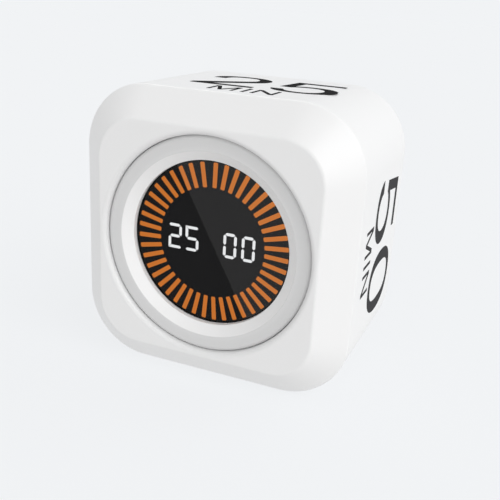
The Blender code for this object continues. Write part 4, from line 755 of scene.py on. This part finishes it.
GLYPHS = {
    "2": [[(0.45, 13.55), (0.45, 17.3, 3.2, 19.7, 7.15, 19.7), (11.1, 19.7, 13.75, 17.3, 13.75, 13.9),
           (13.75, 12.0, 12.9, 10.5, 11.3, 8.9), (4.4, 2.1), (14.0, 2.1), (14.0, 0.0), (0.2, 0.0),
           (0.2, 1.95), (9.2, 10.4), (10.4, 11.6, 10.9, 12.5, 10.9, 13.8),
           (10.9, 16.4, 9.5, 17.9, 7.15, 17.9), (4.7, 17.9, 3.2, 16.5, 3.2, 13.55)]],
    "5": [[(1.85, 19.7), (12.7, 19.7), (12.7, 17.6), (4.0, 17.6), (3.3, 11.35),
           (4.3, 12.1, 5.6, 12.6, 7.2, 12.6), (11.1, 12.6, 13.7, 10.1, 13.7, 6.4),
           (13.7, 2.5, 10.9, 0.0, 6.9, 0.0), (3.0, 0.0, 0.3, 1.9, 0.0, 4.9), (2.75, 4.9),
           (3.1, 2.9, 4.6, 1.8, 6.8, 1.8), (9.3, 1.8, 10.9, 3.6, 10.9, 6.4),
           (10.9, 9.1, 9.3, 10.8, 6.9, 10.8), (5.2, 10.8, 3.9, 10.15, 3.1, 8.95), (0.65, 9.1)]],
    "0": [[(0.05, 9.85), (0.05, 16.2, 2.4, 19.7, 7.0, 19.7), (11.6, 19.7, 13.95, 16.2, 13.95, 9.85),
           (13.95, 3.5, 11.6, 0.0, 7.0, 0.0), (2.4, 0.0, 0.05, 3.5, 0.05, 9.85)],
          [(2.85, 9.85), (2.85, 3.9, 4.3, 1.95, 7.0, 1.95), (9.7, 1.95, 11.15, 3.9, 11.15, 9.85),
           (11.15, 15.8, 9.7, 17.75, 7.0, 17.75), (4.3, 17.75, 2.85, 15.8, 2.85, 9.85)]],
    "1": [[(5.0, 0.0), (7.7, 0.0), (7.7, 19.7), (5.6, 19.7), (5.2, 17.7, 3.4, 16.6, 0.9, 16.5), (0.9, 14.7),
           (5.0, 14.7)]],
    "M": [[(0.0, 0.0), (0.7, 0.0), (0.7, 4.1), (2.45, 0.0), (3.15, 0.0), (4.9, 4.1), (4.9, 0.0), (5.6, 0.0),
           (5.6, 5.4), (4.6, 5.4), (2.8, 1.15), (1.0, 5.4), (0.0, 5.4)]],
    "I": [[(0.0, 0.0), (0.7, 0.0), (0.7, 5.4), (0.0, 5.4)]],
    "N": [[(0.0, 0.0), (0.7, 0.0), (0.7, 4.15), (3.85, 0.0), (4.7, 0.0), (4.7, 5.4), (4.0, 5.4), (4.0, 1.25),
           (0.85, 5.4), (0.0, 5.4)]],
}
MINUTES = (("M", 0.1), ("I", 7.25), ("N", 9.3))

# Print on a side has its top to the rear. A row is the piece's name, the ink, the numeral's glyphs with
# their left edges, its baseline, the share of its drawn height, the left edge and baseline of MIN, and
# which ways are right and out.
PRINTS = (
    # The top's print takes the darker copy of the ink: painted shade.
    ("print_25", "top_ink_painted_shade", (("2", -11.9), ("5", 4.8)), 15.4, 0.85, -4.7, 8.7, (1, 0, 0), (0, 0, 1)),
    ("print_50", "ink", (("5", -13.65), ("0", 2.35)), 17.3, 0.925, -5.65, 10.7, (0, 0, -1), (1, 0, 0)),
    ("print_5", "ink", (("5", -6.9),), 15.9, 0.925, -6.9, 9.4, (-1, 0, 0), (0, 0, -1)),
    ("print_10", "ink", (("1", -10.8), ("0", 0.3)), 15.9, 0.925, -6.9, 9.4, (0, 0, 1), (-1, 0, 0)),
)


def flatten(contour):
    """Contour as a closed run of (x, y) points."""
    points = []
    for entry in contour:
        if len(entry) == 2:
            points.append(Vector(entry))
            continue
        curve = [points[-1]] + [Vector(entry[k:k + 2]) for k in (0, 2, 4)]
        points += geometry.interpolate_bezier(*curve, CURVE_POINTS)[1:]
    if (points[0] - points[-1]).length < SAME_POINT:
        points.pop()
    return [(point.x, point.y) for point in points]


def add_glyph(bm, contours, to_world):
    """Film between the layers 0 and 1 that to_world(x, y, layer) places."""
    loops = [[Vector((x, y, 0.0)) for x, y in contour] for contour in contours]
    triangles = geometry.tessellate_polygon(loops)
    flat = [point for contour in contours for point in contour]
    low, high = [[bm.verts.new(to_world(x, y, layer)) for x, y in flat] for layer in (0, 1)]
    for triangle in triangles:
        bm.faces.new([high[k] for k in triangle])
        bm.faces.new([low[k] for k in reversed(triangle)])
    start = 0
    for contour in contours:
        count = len(contour)
        for k in range(count):
            a, b = start + k, start + (k + 1) % count
            bm.faces.new((low[a], low[b], high[b], high[a]))
        start += count


def numerals():
    """The numeral and the word MIN on each side."""
    for name, ink, numeral, baseline, tall, minutes_left, minutes_baseline, right, out in PRINTS:
        right, up, out = Vector(right), Vector((0, 1, 0)), Vector(out)

        def to_world(x, y, layer):
            level = HALF_WIDTH - PRINT_THICKNESS * (1 - layer)
            return world(*(right * x + up * y + out * level))

        letters = [(glyph, left, baseline, tall) for glyph, left in numeral]
        letters += [(glyph, minutes_left + left, minutes_baseline, 1.0) for glyph, left in MINUTES]
        bm = bmesh.new()
        for glyph, left, low, share in letters:
            drawn = [flatten(contour) for contour in GLYPHS[glyph]]
            placed = [[(left + x, low + y * share) for x, y in contour] for contour in drawn]
            add_glyph(bm, placed, to_world)
        dress(make(name, bm), FINISH[ink], "housing")


# Rear

BUTTON_FRONT = 40.7
BUTTON_BACK = 44.8
BUTTON_DISH = 44.55
BUTTON_RADIUS = BUTTON_HOLE_RADIUS - GAP
BUTTON_STEM_RADIUS = 1.5
FLANGE_FRONT = 41.9
FLANGE_BACK = 42.7
FLANGE_RADIUS = 4.5

SLIDER_CAP = (2.7, 2.0, 0.8)
SLIDER_CAP_DEPTHS = (44.3, 44.7)
SLIDER_CAP_EDGE = 0.14
SLIDER_CORNER = 0.1
SLIDER_BLOCKS = (  # half width, half height, front and back, as also for the rib and the hole
    (1.7, 1.1, 42.5, 44.5),  # neck
    (6.3, 2.0, 41.9, 42.7),  # sliding plate
    (1.5, 1.3, 40.3, 42.1),  # fork
)
SLIDER_RIB = (0.25, 1.5, 44.5, BODY_DEPTH)
SLIDER_RIB_EDGE = 0.12
SLIDER_RIB_PITCH = 1.3
LEVER_HOLE = (0.7, 0.7, 39.0, 41.9)

USB_SHELL = (4.45, 1.6, 1.44)
USB_SHELL_FRONT = 35.8
USB_REAR = 44.5
USB_FLOOR = 37.8
USB_WALL = 0.3
USB_RIM = (  # inset from the shell's outside, and depth from its rear
    (0.0, -0.08), (0.03, -0.02), (0.08, 0.0), (0.22, 0.0), (0.27, -0.02), (USB_WALL, -0.08),
)
TONGUE_BASE = (4.1, 1.25, 1.1)
TONGUE_BASE_DEPTHS = (USB_FLOOR + 0.02, USB_FLOOR + 0.5)
TONGUE_BLADE = (3.3, 0.35, 0.12)
TONGUE_BLADE_DEPTHS = (USB_FLOOR + 0.2, 43.7)
TONGUE_BLADE_EDGE = 0.2
CONTACT = (0.13, 0.03, 0.01)
CONTACT_DEPTHS = (USB_FLOOR + 0.52, 43.35)
CONTACT_COUNT = 12
CONTACT_PITCH = 0.5
CONTACT_HEIGHT = 0.36

SCREW_LENGTH = 13.0
SCREW_RADIUS = 1.0
SCREW_POINT = 1.0
SCREW_TIP_RADIUS = 0.5
HEAD_RADIUS = 1.8
HEAD_RIM = 0.75
HEAD_HEIGHT = 1.4
HEAD_CROWN_RADIUS = 1.1
CROSS_REACH = 1.1
CROSS_HALF = 0.2
CROSS_FRONT = HEAD_FRONT + 0.65
SCREW_EDGE = 0.05


def start_button():
    """Stem, flange and cap with a shallow dish."""
    profile = [(0.0, BUTTON_FRONT, 0.0), (BUTTON_STEM_RADIUS, BUTTON_FRONT, 0.0),
               (BUTTON_STEM_RADIUS, FLANGE_FRONT, 0.0), (FLANGE_RADIUS, FLANGE_FRONT, 0.0),
               (FLANGE_RADIUS, FLANGE_BACK, 0.0), (BUTTON_RADIUS, FLANGE_BACK, 0.0),
               (BUTTON_RADIUS, BUTTON_BACK, 0.35), (BUTTON_RADIUS - 0.7, BUTTON_BACK, 0.0),
               (BUTTON_RADIUS - 1.2, BUTTON_DISH + 0.07, 0.0), (0.0, BUTTON_DISH, 0.0)]
    bm = bmesh.new()
    revolve(bm, rounded(profile), 96, BUTTON_PLACE)
    dress(make("button", bm), FINISH["white_satin"], "button", ["start_button"])


def mode_slider():
    """Ribbed cap, and the neck, plate and fork that it has inside the cover."""
    def box(half_x, half_z, front, back, edge=0.0, x=0.0):
        bm = bmesh.new()
        prism(bm, rectangle(half_x, half_z, SLIDER_CORNER, (SLIDER_X + x, 0.0), 3), front, back, edge)
        return bm

    bm = bmesh.new()
    prism(bm, rectangle(*SLIDER_CAP, (SLIDER_X, 0.0)), *SLIDER_CAP_DEPTHS, SLIDER_CAP_EDGE)
    slider = make("slider", bm)
    for size in SLIDER_BLOCKS:
        combine(slider, box(*size), "UNION")
    for rib in (-1, 0, 1):
        combine(slider, box(*SLIDER_RIB, SLIDER_RIB_EDGE, rib * SLIDER_RIB_PITCH), "UNION")
    combine(slider, box(*LEVER_HOLE), "DIFFERENCE")
    dress(slider, FINISH["grey_plastic"], "slider", ["mode_slider"])


def usb_shell():
    """Drawn steel shell, open to the rear."""
    def ring(inset, depth):
        outline = rectangle(*[size - inset for size in USB_SHELL], USB_PLACE, 10)
        return [world(x, depth, z) for x, z in outline]

    rings = [ring(0.0, USB_SHELL_FRONT)]
    rings += [ring(inset, USB_REAR + depth) for inset, depth in USB_RIM]
    rings.append(ring(USB_WALL, USB_FLOOR))
    bm = bmesh.new()
    loft(bm, rings)
    dress(make("usb_shell", bm), FINISH["steel"], "housing", ["usb_socket"])


def usb_tongue():
    """The black tongue in the socket's shell, and its contacts."""
    bm = bmesh.new()
    prism(bm, rectangle(*TONGUE_BASE, USB_PLACE, 10), *TONGUE_BASE_DEPTHS)
    tongue = make("usb_tongue", bm)
    blade = bmesh.new()
    prism(blade, rectangle(*TONGUE_BLADE, USB_PLACE, 3), *TONGUE_BLADE_DEPTHS, TONGUE_BLADE_EDGE)
    combine(tongue, blade, "UNION")
    dress(tongue, FINISH["chip_black"], "housing")

    bm = bmesh.new()
    first = -CONTACT_PITCH * (CONTACT_COUNT - 1) / 2
    for side in (-1, 1):
        for contact in range(CONTACT_COUNT):
            place = (CONTACT_PITCH * contact + first, USB_PLACE[1] + side * CONTACT_HEIGHT)
            prism(bm, rectangle(*CONTACT, place, 1), *CONTACT_DEPTHS)
    dress(make("usb_contacts", bm), FINISH["gold_contacts"], "housing")


def rear_screws():
    """Four screws with a cross recess."""
    tip = HEAD_FRONT - SCREW_LENGTH
    crown = HEAD_FRONT + HEAD_HEIGHT
    profile = [(0.0, tip, 0.0), (SCREW_TIP_RADIUS, tip, 0.0), (SCREW_RADIUS, tip + SCREW_POINT, 0.0),
               (SCREW_RADIUS, HEAD_FRONT, 0.0), (HEAD_RADIUS, HEAD_FRONT, 0.0),
               (HEAD_RADIUS, HEAD_FRONT + HEAD_RIM, 0.25), (HEAD_CROWN_RADIUS, crown, 0.4), (0.0, crown, 0.0)]
    arm = ((CROSS_REACH, -CROSS_HALF), (CROSS_REACH, CROSS_HALF), (CROSS_HALF, CROSS_HALF))
    cross = [quarter_turned(x, z, quarter) for quarter in range(4) for x, z in arm]
    for number, place in enumerate(POSTS, 1):
        bm = bmesh.new()
        revolve(bm, rounded(profile), 48, place)
        screw = make(f"screw_rear_{number}", bm)
        cut = bmesh.new()
        prism(cut, cross, CROSS_FRONT, BODY_DEPTH, centre=place)
        combine(screw, cut, "DIFFERENCE")
        soften(screw, SCREW_EDGE)
        dress(screw, FINISH["steel"], "housing", [f"rear_screw_{number}"])


# Floor, light and camera. Places and sizes are in metres here, and angles in degrees.

BACKGROUND = (0.880, 0.896, 0.913, 1.0)
AMBIENT = 0.642
FLOOR_COLOUR = (0.93, 0.945, 0.96, 1.0)
FLOOR_LIFT = 1.018
FLOOR_HALF = 3.0
FLOOR_HEIGHT = -0.00005
SHADOW_SHARE = 0.18
LAMPS = (  # name, direction, strength, and whether it lights the surface or only its gloss
    ("front", (0.0, -1.0, 0.0), 0.34, True),
    ("key", (0.705, -0.346, 0.618), 0.75, True),
    ("right_back", (0.7, 0.5, 0.5), 0.34, True),
    ("right_front", (0.9, -0.42, 0.1), 0.44, True),
    ("rim_right", (0.81, 0.46, -0.34), 0.8, False),
    ("rim_top", (-0.36, 0.53, 0.76), 0.45, False),
)
LAMP_SPREAD = 40
CARD_SIZE = (0.26, 0.07)
CARD_ENERGY = 0.062
CARD_PLACE = (-0.0134, -0.1249, 0.001)
CARD_ANGLES = (180.0, 0.0, 55.71)
CAMERA_PLACE = (0.05868, -0.14395, 0.07851)
CAMERA_ANGLES = (70.29, -3.153, 22.92)
CAMERA_LENS = 52.344
SENSOR_WIDTH = 36.0
CLIP_START = 0.01


def radians(angles):
    return [math.radians(angle) for angle in angles]


def shown_background(nodes, links):
    """1 where the camera, a reflection or glass sees the background, and 0 where it lights the object."""
    path = nodes.new("ShaderNodeLightPath")
    total = path.outputs["Is Camera Ray"]
    for output in ("Is Glossy Ray", "Is Transmission Ray"):
        either = nodes.new("ShaderNodeMath")
        either.operation = "MAXIMUM"
        links.new(total, either.inputs[0])
        links.new(path.outputs[output], either.inputs[1])
        total = either.outputs["Value"]
    return total


def mixed(nodes, links, share, first, second):
    """Mix of two shaders that is the second one where the share is 1."""
    mix = nodes.new("ShaderNodeMixShader")
    for source, socket in zip((share, first, second), mix.inputs):
        links.new(source, socket)
    return mix.outputs["Shader"]


def floor():
    """Floor that shows the background's colour, with a faint shadow."""
    corners = ((-FLOOR_HALF, -FLOOR_HALF), (FLOOR_HALF, -FLOOR_HALF), (FLOOR_HALF, FLOOR_HALF),
               (-FLOOR_HALF, FLOOR_HALF))
    bm = bmesh.new()
    bm.faces.new([bm.verts.new((x, y, FLOOR_HEIGHT)) for x, y in corners])
    obj = make("floor", bm)
    made = bpy.data.materials.new("floor")
    made.use_nodes = True
    nodes, links = made.node_tree.nodes, made.node_tree.links
    nodes.clear()
    diffuse = nodes.new("ShaderNodeBsdfDiffuse")
    diffuse.inputs["Color"].default_value = FLOOR_COLOUR
    glow = nodes.new("ShaderNodeEmission")
    glow.inputs["Color"].default_value = [value * FLOOR_LIFT for value in BACKGROUND[:3]] + [1.0]
    share = nodes.new("ShaderNodeMath")
    share.operation = "MULTIPLY"
    share.inputs[1].default_value = 1 - SHADOW_SHARE
    links.new(shown_background(nodes, links), share.inputs[0])
    surface = mixed(nodes, links, share.outputs["Value"], diffuse.outputs["BSDF"], glow.outputs["Emission"])
    links.new(surface, nodes.new("ShaderNodeOutputMaterial").inputs["Surface"])
    obj.data.materials.append(made)
    obj.visible_diffuse = False


def sky():
    """Even light on the object, with the background behind it."""
    world_light = bpy.data.worlds.new("studio")
    bpy.context.scene.world = world_light
    world_light.use_nodes = True
    nodes, links = world_light.node_tree.nodes, world_light.node_tree.links
    even = nodes["Background"]
    even.inputs["Color"].default_value = (1.0, 1.0, 1.0, 1.0)
    even.inputs["Strength"].default_value = AMBIENT
    behind = nodes.new("ShaderNodeBackground")
    behind.inputs["Color"].default_value = BACKGROUND
    share = shown_background(nodes, links)
    surface = mixed(nodes, links, share, even.outputs["Background"], behind.outputs["Background"])
    links.new(surface, nodes["World Output"].inputs["Surface"])


def lamps():
    """Wide suns. Some of them show as gloss alone."""
    for name, towards, energy, lights_surface in LAMPS:
        lamp = bpy.data.lights.new(name, "SUN")
        lamp.energy = energy
        lamp.angle = math.radians(LAMP_SPREAD)
        obj = bpy.data.objects.new(name, lamp)
        obj.rotation_euler = Vector(towards).to_track_quat("Z", "Y").to_euler()
        obj.visible_diffuse = lights_surface
        bpy.context.scene.collection.objects.link(obj)


def card():
    """Low card that only the glass shows: its straight edge lies across the dark display."""
    lamp = bpy.data.lights.new("card", "AREA")
    lamp.shape = "RECTANGLE"
    lamp.size, lamp.size_y = CARD_SIZE
    lamp.energy = CARD_ENERGY
    obj = bpy.data.objects.new("card", lamp)
    obj.location = CARD_PLACE
    obj.rotation_euler = radians(CARD_ANGLES)
    obj.visible_camera = False
    obj.visible_diffuse = False
    obj.visible_transmission = False
    only_glass = bpy.data.collections.new("lit_by_card")
    only_glass.objects.link(bpy.data.objects["display_glass"])
    obj.light_linking.receiver_collection = only_glass
    bpy.context.scene.collection.objects.link(obj)


def camera():
    data = bpy.data.cameras.new("camera")
    data.sensor_width = SENSOR_WIDTH
    data.lens = CAMERA_LENS
    data.clip_start = CLIP_START
    obj = bpy.data.objects.new("camera", data)
    obj.location = CAMERA_PLACE
    obj.rotation_euler = radians(CAMERA_ANGLES)
    bpy.context.scene.collection.objects.link(obj)
    bpy.context.scene.camera = obj


finish_cad_nodes()
front_shell()
rear_cover()
dial_ring()
lens()
light_bars()
digits()
light_block()
numerals()
start_button()
mode_slider()
usb_shell()
usb_tongue()
rear_screws()
floor()
sky()
lamps()
card()
camera()
bpy.context.scene.view_settings.view_transform = "Standard"
